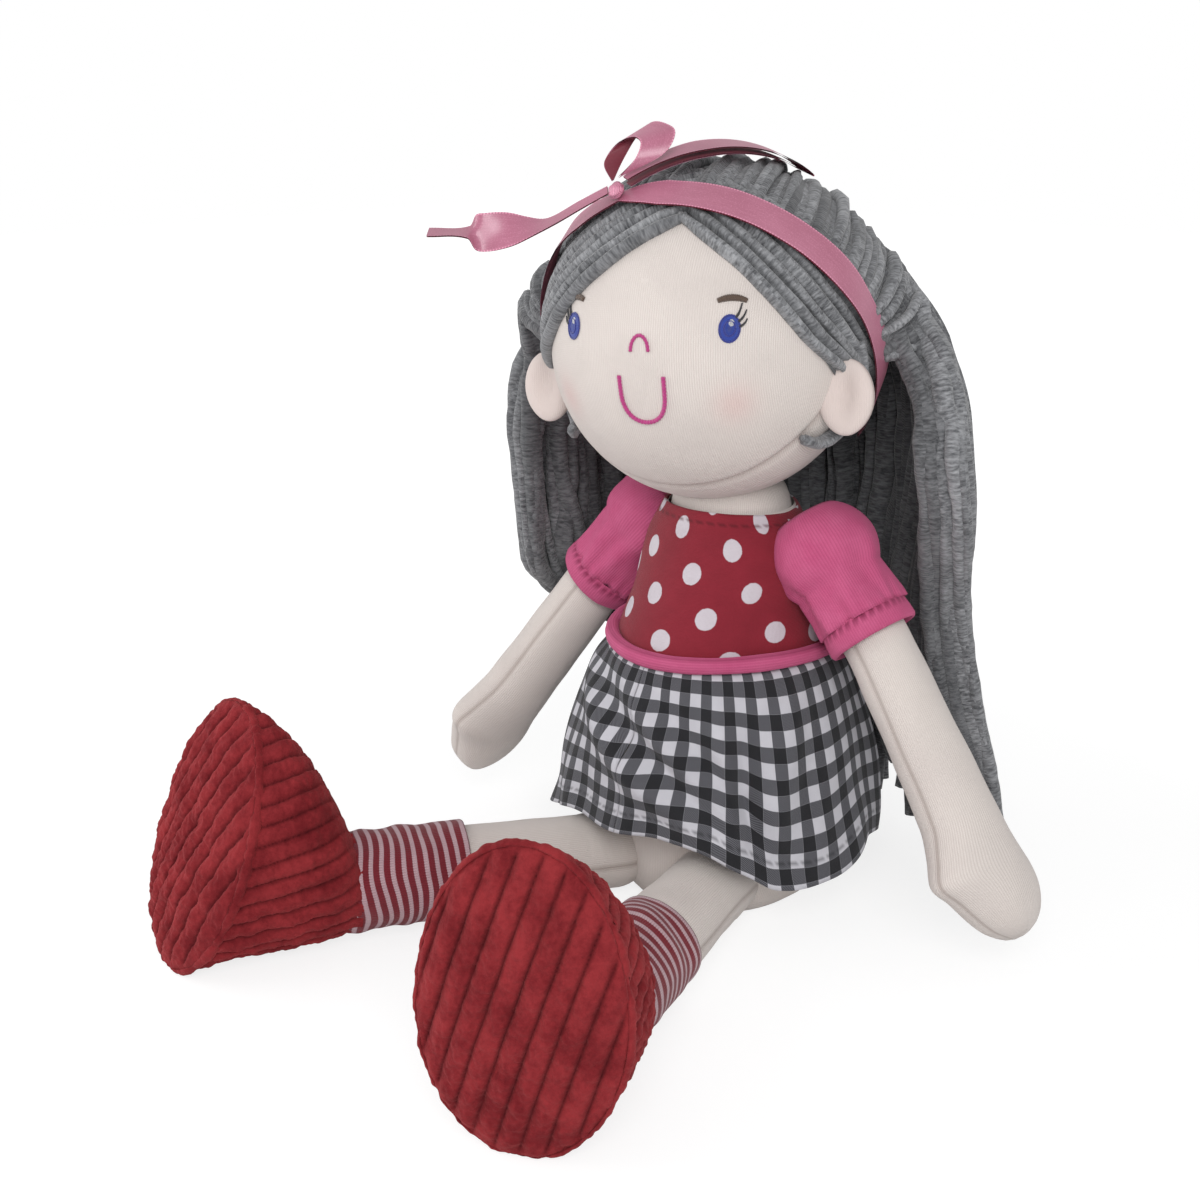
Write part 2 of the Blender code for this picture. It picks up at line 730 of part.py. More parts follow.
def make_face(head):
    for side, sign in SIDES:
        sideways = sign * math.sin(EYE_AZIMUTH) * HEAD_RADIUS
        bm = oval_ball(EYE_HALF_WIDTH, EYE_HALF_THICKNESS, EYE_HALF_HEIGHT)
        bmesh.ops.rotate(bm, verts=bm.verts, matrix=Matrix.Rotation(sign * EYE_AZIMUTH, 3, "Z"))
        lift = EYE_HALF_THICKNESS + 2 * GAP
        spot = face_point(sideways, EYE_HEIGHT_SHARE * HEAD_RADIUS, lift)
        bmesh.ops.translate(bm, verts=bm.verts, vec=spot)
        name = "eye_" + side
        add_object(name, mesh_from(bm, name), BLUE, THREAD_ROUGHNESS).matrix_world = head
        rod("brow_" + side, brow_points(sign, sideways), BROW_RADIUS, BROWN).matrix_world = head
    lift = STITCH_RADIUS + GAP
    nose = []
    mouth = []
    for i in range(STITCH_POINTS):
        angle = math.pi * i / (STITCH_POINTS - 1)
        across = math.cos(angle)
        rise = NOSE_RISE * math.sin(angle)
        nose.append(face_point(NOSE_HALF_WIDTH * across, NOSE_HEIGHT_SHARE * HEAD_RADIUS + rise, lift))
        drop = MOUTH_DEPTH * math.sqrt(math.sin(angle))
        mouth.append(face_point(MOUTH_HALF_WIDTH * across, MOUTH_HEIGHT_SHARE * HEAD_RADIUS - drop, lift))
    rod("nose_stitch", nose, STITCH_RADIUS, MAGENTA).matrix_world = head
    rod("mouth_stitch", mouth, STITCH_RADIUS, MAGENTA).matrix_world = head


def hair_radius():
    return HEAD_RADIUS + 2 * GAP + HAIR_THICKNESS


def hairline_plane(sign):
    """The plane of one side's hairline in the head's frame: its normal, and how far out it lies."""
    normal = Vector(HAIRLINE_LEFT if sign > 0 else HAIRLINE_RIGHT).normalized()
    share = HAIRLINE_LEFT_SHARE if sign > 0 else HAIRLINE_RIGHT_SHARE
    return normal, share * hair_radius()


def make_hair_caps(head):
    """The sewn-down hair each side of the parting, behind the hairline and above the nape."""
    for side, sign in SIDES:
        name = "hair_cap_" + side
        cap = add_object(name, mesh_from(ball(hair_radius(), (0, 0, 0)), name), HAIR_GREY)
        cap.matrix_world = head
        thicken(cap, HAIR_THICKNESS)
        hairline, reach = hairline_plane(sign)
        parting = Vector((math.cos(PARTING_TURN), math.sin(PARTING_TURN), 0)) * sign
        nape = Vector((0, 0, HAIR_NAPE_SHARE * hair_radius()))
        cutters = (
            block_beyond(name + "_parting", parting * GAP / 2, parting),
            block_beyond(name + "_hairline", hairline * reach, hairline),
            block_beyond(name + "_nape", nape, Vector((0, 0, 1))),
            add_cutter(name + "_ear_room", ear_form(sign, 2 * GAP)),
        )
        for cutter in cutters:
            cutter.matrix_world = head
            cut(cap, cutter)


def lock_row(height, inner, outer, start, end):
    """One level of a lock, counted from the back: each radius is a pair, at the start and the end."""
    ring = []
    for radius, order in ((outer, range(LOCK_ARC_POINTS)), (inner, reversed(range(LOCK_ARC_POINTS)))):
        for i in order:
            share = i / (LOCK_ARC_POINTS - 1)
            azimuth = start + (end - start) * share
            reach = (radius[0] + (radius[1] - radius[0]) * share) * LOCK_REACH
            x = HEAD_CENTRE_X + reach * math.sin(azimuth)
            y = HEAD_CENTRE_Y + reach * math.cos(azimuth)
            ring.append(Vector((x, y, height)))
    return ring


def make_lock(name, back_rows, side_rows, bottom, top, sign, at_back):
    rings = []
    seam = GAP / LOCK_REACH
    for back, edge in zip(back_rows, side_rows):
        share, inner, outer = back
        front_inner, front_outer, front = edge[1:]
        height = bottom + (top - bottom) * share
        if at_back:
            spans = ((inner, inner), (outer, outer), seam, LOCK_BACK_TO_SIDE - seam)
        else:
            first = LOCK_BACK_TO_SIDE + seam
            spans = ((inner, front_inner), (outer, front_outer), first, math.radians(front))
        rings.append(lock_row(height, spans[0], spans[1], sign * spans[2], sign * spans[3]))
    add_object(name, mesh_from(skin_rings(rings), name), HAIR_GREY)


def make_locks():
    upper = (UPPER_BACK_SHARES, UPPER_LEFT_SHARES, UPPER_RIGHT_SHARES)
    lower = (LOWER_BACK_SHARES, LOWER_LEFT_SHARES, LOWER_RIGHT_SHARES)
    levels = (
        ("upper", upper, LOCK_SPLIT_HEIGHT + GAP, LOCK_UPPER_TOP),
        ("lower", lower, LOCK_LOWER_END, LOCK_SPLIT_HEIGHT),
    )
    for side, sign in SIDES:
        for level, tables, bottom, top in levels:
            side_rows = tables[1] if sign > 0 else tables[2]
            for place in ("back", "side"):
                name = "hair_" + place + "_" + level + "_" + side
                make_lock(name, tables[0], side_rows, bottom, top, sign, place == "back")


def band_point(angle, lift):
    """A point over the hair along the ribbon, from the crown (0) down to the doll's left (+)."""
    up = Vector((0, -math.sin(BAND_LEAN), math.cos(BAND_LEAN)))
    return (up * math.cos(angle) + Vector((math.sin(angle), 0, 0))) * (hair_radius() + GAP + lift)


def make_ribbon(head):
    angles = [BAND_HALF_ARC * (2 * i / (BAND_POINTS - 1) - 1) for i in range(BAND_POINTS)]
    centres = [band_point(angle, 0.0) for angle in angles]
    across = []
    thick = []
    for i, centre in enumerate(centres):
        along = centres[min(i + 1, BAND_POINTS - 1)] - centres[max(i - 1, 0)]
        across.append(along.cross(centre).normalized() * RIBBON_WIDTH)
        thick.append(centre.normalized() * RIBBON_THICKNESS)
    strip("ribbon_band", centres, across, thick, DUSTY_PINK).matrix_world = head
    make_bow(head)


def make_bow(head):
    """The knot on the ribbon; its loops and its tail are laid out in the doll's own frame."""
    place = head @ band_point(BOW_ANGLE, RIBBON_THICKNESS + GAP + KNOT_HALF_HEIGHT)
    up = (place - head.translation).normalized()
    along, back, face = limb_axes(head.to_3x3() @ Vector((1, 0, 0)), up)
    frame = Matrix((along, face, back)).transposed()
    bm = oval_ball(KNOT_HALF_LENGTH, KNOT_HALF_LENGTH, KNOT_HALF_HEIGHT)
    bmesh.ops.transform(bm, verts=bm.verts, matrix=Matrix.Translation(place) @ frame.to_4x4())
    bmesh.ops.recalc_face_normals(bm, faces=bm.faces)
    add_object("bow_knot", mesh_from(bm, "bow_knot"), DUSTY_PINK, SATIN_ROUGHNESS)
    make_loop(place + up * (KNOT_HALF_HEIGHT + 2 * GAP))
    make_back_loop(head, place, up)
    make_tail(place)


def make_loop(root):
    """The upright loop of the bow, from the shares of its near and its far edge."""
    right, up, forward = Vector(BOW_RIGHT), Vector(BOW_UP), Vector(BOW_FORWARD)
    edges = []
    for shares in (LOOP_NEAR_SHARES, LOOP_FAR_SHARES):
        spots = [root + (right * x + up * y + forward * z) * BOW_LOOP_LENGTH for x, y, z in shares]
        edges.append(spots)
    centres = []
    widths = []
    for near, far in zip(*edges):
        centres.append((near + far) / 2)
        widths.append(far - near)
    middle = ring_middle(centres)
    outward = []
    for i, centre in enumerate(centres):
        along = centres[min(i + 1, len(centres) - 1)] - centres[max(i - 1, 0)]
        normal = widths[i].cross(along).normalized()
        outward.append(normal * math.copysign(RIBBON_THICKNESS, normal.dot(centre - middle)))
    strip("bow_loop_front", centres, widths, outward, DUSTY_PINK)


def make_back_loop(head, knot, up):
    """The loop that lies back over the crown: out along the hair and home again above itself."""
    axis = up.cross(Vector(BACK_LOOP_GOAL)).normalized()
    start = math.asin((KNOT_HALF_LENGTH + 3 * GAP) / (knot - head.translation).length)
    low = hair_radius() + BACK_LOOP_REST
    centres = []
    outward = []
    for i in range(BACK_LOOP_POINTS):
        turn = math.pi * i / (BACK_LOOP_POINTS - 1)
        angle = start + (BACK_LOOP_ARC - start) * math.sin(turn)
        lift = low + BACK_LOOP_LIFT * (1 - math.cos(turn)) / 2
        centres.append(head.translation + Matrix.Rotation(angle, 3, axis) @ up * lift)
    for i in range(BACK_LOOP_POINTS):
        along = centres[min(i + 1, BACK_LOOP_POINTS - 1)] - centres[max(i - 1, 0)]
        outward.append(axis.cross(along).normalized() * RIBBON_THICKNESS)
    widths = [axis * RIBBON_WIDTH] * BACK_LOOP_POINTS
    strip("bow_loop_back", centres, widths, outward, DUSTY_PINK)


def make_tail(knot):
    """The free end that runs out from the knot past the doll's right side, twisting as it goes."""
    along = Vector(TAIL_DIRECTION).normalized()
    upright = Vector((0, 0, 1))
    level = along.cross(upright)
    root = knot + along * (KNOT_HALF_LENGTH + 3 * GAP)
    centres = []
    widths = []
    faces = []
    for i in range(TAIL_POINTS):
        position = i / (TAIL_POINTS - 1)
        drop, wide = interpolate(TAIL_ROW_SHARES, position)
        twist = math.radians(interpolate(TAIL_TWIST_DEGREES, position)[0])
        centres.append(root + along * (TAIL_LENGTH * position) - upright * (TAIL_DROP * drop))
        width = level * math.cos(twist) + upright * math.sin(twist)
        widths.append(width * RIBBON_WIDTH * wide)
        faces.append(along.cross(width).normalized() * RIBBON_THICKNESS)
    strip("ribbon_tail", centres, widths, faces, DUSTY_PINK)


def make_bodice(cutters):
    spread = 2 * GAP
    inside = [row[0] * TORSO_HEIGHT for row in TORSO_ROW_SHARES]
    heights = [BODICE_BOTTOM] + [z for z in inside if BODICE_BOTTOM < z < BODICE_TOP] + [BODICE_TOP]
    rings = [torso_ring(height, spread) for height in heights]
    bottom = Vector((0, 0, BODICE_BOTTOM))
    top = Vector((0, 0, BODICE_TOP))
    bm = skin_rings(rings, bottom, top)
    open_ends(bm, bottom, top)
    bodice = add_object("bodice", mesh_from(bm, "bodice"), RED)
    thicken(bodice, SKIN, outward=True)
    for cutter in cutters:
        if not cutter.name.startswith("lap"):
            cut(bodice, cutter)


def make_piping():
    ring = torso_ring(PIPING_HEIGHT, 2 * GAP + PIPING_RADIUS)
    rod("waist_piping", ring, PIPING_RADIUS, PINK, cyclic=True, roughness=CLOTH_ROUGHNESS)


def skirt_point(azimuth, share):
    """A point of the skirt: azimuth from the front towards +X, share from waist (0) to hem (1)."""
    half, front, back = torso_reach(SKIRT_TOP)
    facing = math.cos(azimuth)
    depth = front if facing > 0 else back
    waist_x = (half + 3 * GAP) * math.sin(azimuth)
    waist_y = -(depth + 3 * GAP) * facing
    reach, hem = interpolate(SKIRT_HEM_SHARES, math.degrees(azimuth))
    fold = SKIRT_FOLD_DEPTH * share * math.cos(SKIRT_FOLD_COUNT * azimuth)
    radius = reach * SKIRT_HEM_REACH + fold
    flare = share ** SKIRT_FLARE_POWER
    x = waist_x + (radius * math.sin(azimuth) - waist_x) * flare
    y = waist_y + (-radius * facing - waist_y) * flare
    z = SKIRT_TOP + (hem * SKIRT_HEM_HEIGHT - SKIRT_TOP) * share
    return Vector((x, y, z))


def make_skirt():
    """Two halves, seamed at the centre front and the centre back."""
    seam = SKIRT_SEAM_GAP / SKIRT_HEM_REACH
    for side, sign in SIDES:
        bm = bmesh.new()
        grid = []
        for row in range(SKIRT_ROWS):
            share = row / (SKIRT_ROWS - 1)
            line = []
            for column in range(SKIRT_COLUMNS):
                azimuth = seam + (math.pi - 2 * seam) * column / (SKIRT_COLUMNS - 1)
                line.append(bm.verts.new(skirt_point(sign * azimuth, share)))
            grid.append(line)
        for upper, lower in zip(grid, grid[1:]):
            for i in range(SKIRT_COLUMNS - 1):
                corners = (upper[i], lower[i], lower[i + 1], upper[i + 1])
                bm.faces.new(corners if sign > 0 else corners[::-1])
        name = "skirt_" + side
        skirt = add_object(name, mesh_from(bm, name), CHECK_GREY)
        thicken(skirt, SKIN, outward=True)


def limb_axes(direction, hint):
    along = Vector(direction).normalized()
    up = (hint - along * hint.dot(along)).normalized()
    return along, up, up.cross(along).normalized()


def arm_axis(pivot, side, distance):
    """A point and a direction of the arm's middle line, which bends a little below the sleeve."""
    upper, lower = ARM_DIRECTIONS[side]
    upper = Vector(upper).normalized()
    lower = Vector(lower).normalized()
    if distance <= ARM_BEND_PLACE:
        return pivot + upper * distance, upper
    return pivot + upper * ARM_BEND_PLACE + lower * (distance - ARM_BEND_PLACE), lower


def arm_form(pivot, name, sides, end_share=1.0):
    """The stuffed arm, from its open root in the sleeve to the mitten hand."""
    rows = [(share * ARM_LENGTH, *reaches) for share, *reaches in ARM_ROW_SHARES if share < end_share]
    rows.insert(0, (-ARM_ROOT_SETBACK, ARM_ROOT_SHARE, ARM_ROOT_SHARE, ARM_ROOT_SHARE))
    rings = []
    for distance, forward, backward, thick in rows:
        centre, direction = arm_axis(pivot, name, distance)
        along, front, side = limb_axes(direction, Vector((0, -1, 0)))
        reaches = (thick * ARM_RADIUS, forward * ARM_RADIUS, backward * ARM_RADIUS)
        rings.append(oval_ring(centre, side, front, *reaches, sides))
    root = arm_axis(pivot, name, -ARM_ROOT_SETBACK)[0]
    tip = ring_middle(rings[-1]) + along * (ARM_LENGTH * end_share - rows[-1][0])
    return skin_rings(rings, root, tip), root


def sleeve_profile(length):
    """Distance along the arm and radius: round the shoulder ball, then straight to the hem."""
    start = -math.acos(SLEEVE_ROOT_RADIUS / SHOULDER_BALL_RADIUS)
    end = math.acos(SLEEVE_RADIUS / SHOULDER_BALL_RADIUS)
    points = []
    for i in range(SLEEVE_ARC_POINTS):
        angle = start + (end - start) * i / (SLEEVE_ARC_POINTS - 1)
        points.append((SHOULDER_BALL_RADIUS * math.sin(angle), SHOULDER_BALL_RADIUS * math.cos(angle)))
    points.append((length, SLEEVE_RADIUS))
    return points


def turned_shell(name, pivot, direction, profile, colour):
    """A fabric tube from its profile of distance and radius, turned about the limb."""
    along, up, side = limb_axes(direction, Vector((0, -1, 0)))
    rings = [
        oval_ring(pivot + along * s, side, up, radius, radius, radius, LIMB_SIDES) for s, radius in profile
    ]
    first = pivot + along * profile[0][0]
    last = pivot + along * profile[-1][0]
    bm = skin_rings(rings, first, last)
    open_ends(bm, first, last)
    made = add_object(name, mesh_from(bm, name), colour)
    thicken(made, SKIN)
    return made


def make_arms():
    for side, sign in SIDES:
        pivot = shoulder_point(sign)
        direction = ARM_DIRECTIONS[side][0]
        length = SLEEVE_LENGTH_LEFT if sign > 0 else SLEEVE_LENGTH_RIGHT
        turned_shell("sleeve_" + side, pivot, direction, sleeve_profile(length), PINK)
        hem_start = length + GAP
        hem_radius = SLEEVE_RADIUS + SLEEVE_HEM_SPREAD
        hem = [(hem_start, SLEEVE_RADIUS), (hem_start + SLEEVE_HEM_LENGTH, hem_radius)]
        turned_shell("sleeve_hem_" + side, pivot, direction, hem, PINK)
        bm, root = arm_form(pivot, side, LIMB_SIDES)
        open_ends(bm, root)
        name = "arm_skin_" + side
        skin = add_object(name, mesh_from(bm, name), CREAM)
        thicken(skin, SKIN)
        bm, root = arm_form(pivot, side, LIMB_SIDES // 2, ARM_STUFFING_SHARE)
        inset(bm, SKIN + STUFFING_CLEARANCE)
        name = "arm_stuffing_" + side
        add_object(name, mesh_from(bm, name), STUFFING_WHITE)
        seam_ring("armhole_seam_" + side, pivot, sign, SHOULDER_BALL_RADIUS, SEAM_RING_ANGLE)


def leg_direction(sign):
    splay = LEG_SPLAY_LEFT if sign > 0 else LEG_SPLAY_RIGHT
    flat = Vector((sign * math.sin(splay), -math.cos(splay), 0)) * math.cos(LEG_RISE)
    return flat + Vector((0, 0, math.sin(LEG_RISE)))


def leg_form(pivot, direction, sides):
    """The leg from the pole of its hip ball to the ankle."""
    along, up, side = limb_axes(direction, Vector((0, 0, 1)))
    rows = []
    for i in range(LEG_DOME_STEPS):
        angle = LEG_HOLE_ANGLE + (math.pi / 2 - LEG_HOLE_ANGLE) * i / (LEG_DOME_STEPS - 1)
        rows.append((-HIP_BALL_RADIUS * math.cos(angle), HIP_BALL_RADIUS * math.sin(angle)))
    rows += [(share * ANKLE, radius * THIGH_RADIUS) for share, radius in LEG_ROW_SHARES]
    rings = [oval_ring(pivot + along * s, side, up, r, r, r, sides) for s, r in rows]
    first = pivot + along * rows[0][0]
    last = pivot + along * rows[-1][0]
    return skin_rings(rings, first, last), first, last


def make_legs():
    for side, sign in SIDES:
        pivot = hip_point(sign)
        direction = leg_direction(sign)
        bm, first, last = leg_form(pivot, direction, LIMB_SIDES)
        open_ends(bm, first, last)
        name = "leg_skin_" + side
        skin = add_object(name, mesh_from(bm, name), CREAM)
        thicken(skin, SKIN)
        bm, first, last = leg_form(pivot, direction, LIMB_SIDES // 2)
        inset(bm, SKIN + STUFFING_CLEARANCE)
        name = "leg_stuffing_" + side
        add_object(name, mesh_from(bm, name), STUFFING_WHITE)
        seam_ring("hip_seam_" + side, pivot, sign, HIP_BALL_RADIUS, HIP_RING_ANGLE)
        sock = [(SOCK_START, SOCK_RADIUS), ((SOCK_START + ANKLE) / 2, SOCK_RADIUS), (ANKLE, SOCK_RADIUS)]
        turned_shell("sock_" + side, pivot, direction, sock, SOCK_RED)


def shoe_frames(sign):
    """Frames of the ankle and of the sole plane: across, up the foot, and out through the sole."""
    pivot = hip_point(sign)
    along, up, side = limb_axes(leg_direction(sign), Vector((0, 0, 1)))
    ankle = Matrix((side, up, along)).transposed()
    turn = SHOE_TURN_LEFT if sign > 0 else SHOE_TURN_RIGHT
    lean = SHOE_LEAN_LEFT if sign > 0 else SHOE_LEAN_RIGHT
    roll = SHOE_ROLL_LEFT if sign > 0 else SHOE_ROLL_RIGHT
    twist = Matrix.Rotation(turn, 3, up) @ Matrix.Rotation(lean, 3, side) @ Matrix.Rotation(roll, 3, along)
    return pivot, along, ankle, twist @ ankle


def shoe_rings(sign, sides):
    """Rings from the ankle to the sole; the foot grows up to the toe and stays on the ground."""
    pivot, along, ankle, sole = shoe_frames(sign)
    rings = []
    distance = SOLE_DISTANCE_LEFT if sign > 0 else SOLE_DISTANCE_RIGHT
    length = distance - ANKLE - GAP
    waist = SOLE_WAIST_SHARE * SOLE_LENGTH
    for share, growth in SHOE_GROWTH_SHARES:
        mix = ankle.to_quaternion().slerp(sole.to_quaternion(), share).to_matrix()
        side, up, out = mix.col[0], mix.col[1], mix.col[2]
        down_reach = SOCK_RADIUS + (waist - SOCK_RADIUS) * growth
        up_reach = SOCK_RADIUS + (SOLE_LENGTH - waist - SOCK_RADIUS) * growth
        half = SOCK_RADIUS + (SOLE_WIDTH / 2 - SOCK_RADIUS) * growth
        heel = pivot + along * (ANKLE + GAP + length * share) - ankle.col[1] * SOCK_RADIUS
        heel.z *= 1 - growth
        rings.append(oval_ring(heel + up * down_reach, side, up, half, up_reach, down_reach, sides))
    return rings


def ring_middle(ring):
    return sum(ring, Vector((0, 0, 0))) / len(ring)


def make_shoes():
    for side, sign in SIDES:
        rings = shoe_rings(sign, LIMB_SIDES)
        first = ring_middle(rings[0])
        last = ring_middle(rings[-1])
        bm = skin_rings(rings, first, last)
        open_ends(bm, first, last)
        name = "shoe_upper_" + side
        upper = add_object(name, mesh_from(bm, name), SHOE_RED)
        thicken(upper, SKIN)
        out = shoe_frames(sign)[3].col[2]
        cut(upper, block_beyond(name + "_rim", last - out * GAP / 2, -out))
        coarse = shoe_rings(sign, LIMB_SIDES // 2)
        bm = skin_rings(coarse, first, last)
        inset(bm, SKIN + 2 * STUFFING_CLEARANCE)
        name = "shoe_stuffing_" + side
        add_object(name, mesh_from(bm, name), STUFFING_WHITE)
        make_sole(side, sign, rings[-1], last)


def make_sole(side, sign, rim, middle):
    """The sole: a pad over the open end of the upper, a little crowned."""
    out = shoe_frames(sign)[3].col[2]
    near = out * GAP / 2
    rings = [[point + near for point in rim], [point + near + out * SOLE_THICKNESS for point in rim]]
    for reach, crown in SOLE_CROWN_SHARES:
        lift = near + out * (SOLE_THICKNESS + SOLE_BULGE * crown)
        rings.append([middle + (point - middle) * reach + lift for point in rim])
    bm = skin_rings(rings, middle + near, middle + near + out * (SOLE_THICKNESS + SOLE_BULGE))
    name = "shoe_sole_" + side
    add_object(name, mesh_from(bm, name), SHOE_RED)


def carry(name, place, prefixes, suffix=""):
    """An empty on a joint's axis, which carries the pieces that move about it."""
    joint = bpy.data.objects.new(name, None)
    joint.location = place
    named = [piece for piece in PARTS.objects if piece.name.startswith(prefixes)]
    PARTS.objects.link(joint)
    for piece in named:
        if not piece.name.endswith(suffix):
            continue
        piece.parent = joint
        piece.matrix_parent_inverse = Matrix.Translation(place).inverted()


SIDES = (("left", 1), ("right", -1))
HEAD_PIECES = ("face", "head", "ear", "eye", "brow", "nose", "mouth", "hair", "ribbon", "bow")
ARM_PIECES = ("sleeve", "arm")
LEG_PIECES = ("hip", "leg", "sock", "shoe")
ARM_DIRECTIONS = {
    "left": (SLEEVE_DIRECTION_LEFT, ARM_DIRECTION_LEFT),
    "right": (SLEEVE_DIRECTION_RIGHT, ARM_DIRECTION_RIGHT),
}

clear_scene()
PARTS = collection("rag_doll")
CUTTERS = collection("cutters")


def main():
    cutters = limb_cutters()
    make_torso(cutters)
    make_neck()
    head = head_matrix()
    make_head(head)
    make_ears(head)
    make_face(head)
    make_hair_caps(head)
    make_locks()
    make_ribbon(head)
    make_bodice(cutters)
    make_piping()
    make_skirt()
    make_arms()
    make_legs()
    make_shoes()
    carry("head_joint", Vector((0, 0, NECK_BALL_HEIGHT)), HEAD_PIECES)
    for side, sign in SIDES:
        carry("shoulder_joint_" + side, shoulder_point(sign), ARM_PIECES, side)
        carry("hip_joint_" + side, hip_point(sign), LEG_PIECES, side)


main()
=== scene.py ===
"""Looks of the sitting rag doll: knit skin, jersey hair, satin ribbon, dotted bodice, checked skirt,
striped socks and corded-velvet shoes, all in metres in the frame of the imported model.
"""
import math
import random

import bmesh
import bpy
from mathutils import Matrix, Vector, noise


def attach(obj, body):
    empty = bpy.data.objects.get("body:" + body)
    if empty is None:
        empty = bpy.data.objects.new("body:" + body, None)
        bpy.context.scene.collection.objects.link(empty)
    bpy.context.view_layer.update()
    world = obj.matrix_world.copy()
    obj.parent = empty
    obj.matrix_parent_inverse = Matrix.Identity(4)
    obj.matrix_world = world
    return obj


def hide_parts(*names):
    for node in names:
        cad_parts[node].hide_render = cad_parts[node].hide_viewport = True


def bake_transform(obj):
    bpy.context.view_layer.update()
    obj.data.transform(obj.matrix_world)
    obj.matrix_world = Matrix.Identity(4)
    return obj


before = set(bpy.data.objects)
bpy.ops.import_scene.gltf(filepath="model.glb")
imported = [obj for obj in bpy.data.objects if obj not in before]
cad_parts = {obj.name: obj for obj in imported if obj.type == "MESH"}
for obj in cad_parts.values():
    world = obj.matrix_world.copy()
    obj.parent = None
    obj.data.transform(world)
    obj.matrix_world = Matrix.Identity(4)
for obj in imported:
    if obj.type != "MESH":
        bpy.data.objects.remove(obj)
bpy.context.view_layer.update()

TAU = math.tau
SIDES = (("left", 1), ("right", -1))

# Camera at the photograph's place
CAMERA_PLACE = (0.388, -0.476, 0.320)
CAMERA_AXIS = (-0.661, 0.684, -0.309)
CAMERA_LENS = 48

# Head
HEAD_CENTRE = Vector((-0.005, -0.009, 0.2265))
HEAD_RADIUS = 0.0605
HEAD_TURN = math.radians(16)
HEAD_TILT_BACK = math.radians(5)
HEAD_ROLL = math.radians(3)
HEAD_SEAM_LEAN = math.radians(22)
HEAD_SEAM_FORWARD = 0.008
SEAM_DEPTH = 0.0012
SEAM_HALF = 0.0011

# Ears
EAR_HALF = (0.0105, 0.0042, 0.0138)
EAR_DROP = 0.0185
EAR_OUT_SHARE = 0.52
EAR_BEHIND_SIDE = math.radians(-16)
EAR_DENT = 0.0034

# Embroidery
EYE_AZIMUTH = math.radians(30)
EYE_HEIGHT = 0.0065
EYE_HALF_WIDTH = 0.0035
EYE_HALF_HEIGHT = 0.0045
EYE_DOME = 0.0007
BROW_HEIGHT = 0.0158
BROW_HALF_LENGTH = 0.0044
BROW_RISE = 0.0011
NOSE_HEIGHT = -0.0015
NOSE_HALF_WIDTH = 0.0034
NOSE_RISE = 0.0056
MOUTH_HEIGHT = -0.0100
MOUTH_HALF_WIDTH = 0.0086
MOUTH_DEPTH = 0.0165
THREAD_RADIUS = 0.0006

# Hair on the head: each side's hairline is a plane, and the parting is turned to the left
HAIR_THICKNESS = 0.0050
HAIR_RADIUS = HEAD_RADIUS + 0.0006 + HAIR_THICKNESS
PARTING_TURN = math.radians(11)
HAIRLINES = {
    "left": (Vector((0.536, 0.499, 0.681)).normalized(), 0.17),
    "right": (Vector((-0.55, 0.33, 0.77)).normalized(), 0.197),
}
FRONT_STRIP_WIDTH = 0.0043
EAR_STRIP_SPOTS = (
    (0.0075, 0.0200, 0.0000),
    (0.0100, 0.0120, 0.0006),
    (0.0110, 0.0030, 0.0010),
    (0.0105, -0.0070, 0.0010),
    (0.0070, -0.0145, 0.0008),
    (0.0000, -0.0180, 0.0006),
    (-0.0070, -0.0168, 0.0002),
    (-0.0100, -0.0160, -0.0010),
)
FRONT_STRIPS = 6

# Hanging hair: rows of height, and of inner and outer radius at the back and at each front edge
LOCK_SPLIT = 0.168
LOCK_RADII = (
    (0.2840, 0.0360, 0.0408, 0.0408, 0.0428),
    (0.2701, 0.0515, 0.0571, 0.0571, 0.0632),
    (0.2527, 0.0637, 0.0724, 0.0724, 0.0847),
    (0.2318, 0.0694, 0.0867, 0.0867, 0.1020),
    (0.2063, 0.0700, 0.0969, 0.0979, 0.1071),
    (0.1680, 0.0755, 0.1020, 0.1035, 0.1061),
    (0.1243, 0.0790, 0.1020, 0.1050, 0.1040),
    (0.0978, 0.0830, 0.1030, 0.1100, 0.1040),
    (0.0744, 0.0860, 0.1050, 0.1173, 0.1050),
    (0.0494, 0.0900, 0.1081, 0.1255, 0.1100),
    (0.0120, 0.0940, 0.1100, 0.1295, 0.1122),
)
LOCK_FRONTS = (
    (0.2840, 76, 84),
    (0.2701, 78, 88),
    (0.2527, 80, 93),
    (0.2318, 80, 97),
    (0.2063, 78, 99),
    (0.1680, 73, 98),
    (0.1400, 66, 97),
    (0.1190, 61, 96),
    (0.1040, 59, 88),
    (0.0880, 58, 70),
    (0.0744, 57, 64),
    (0.0494, 56, 64),
    (0.0120, 56, 62),
)
LOCK_BACK_TO_SIDE = math.radians(42)
STRAND_RADIUS = 0.0029
STRAND_LAYERS = 3
STRAND_SPACING = 0.0054
STRAND_SIDES = 12
STRAND_ROWS = 70

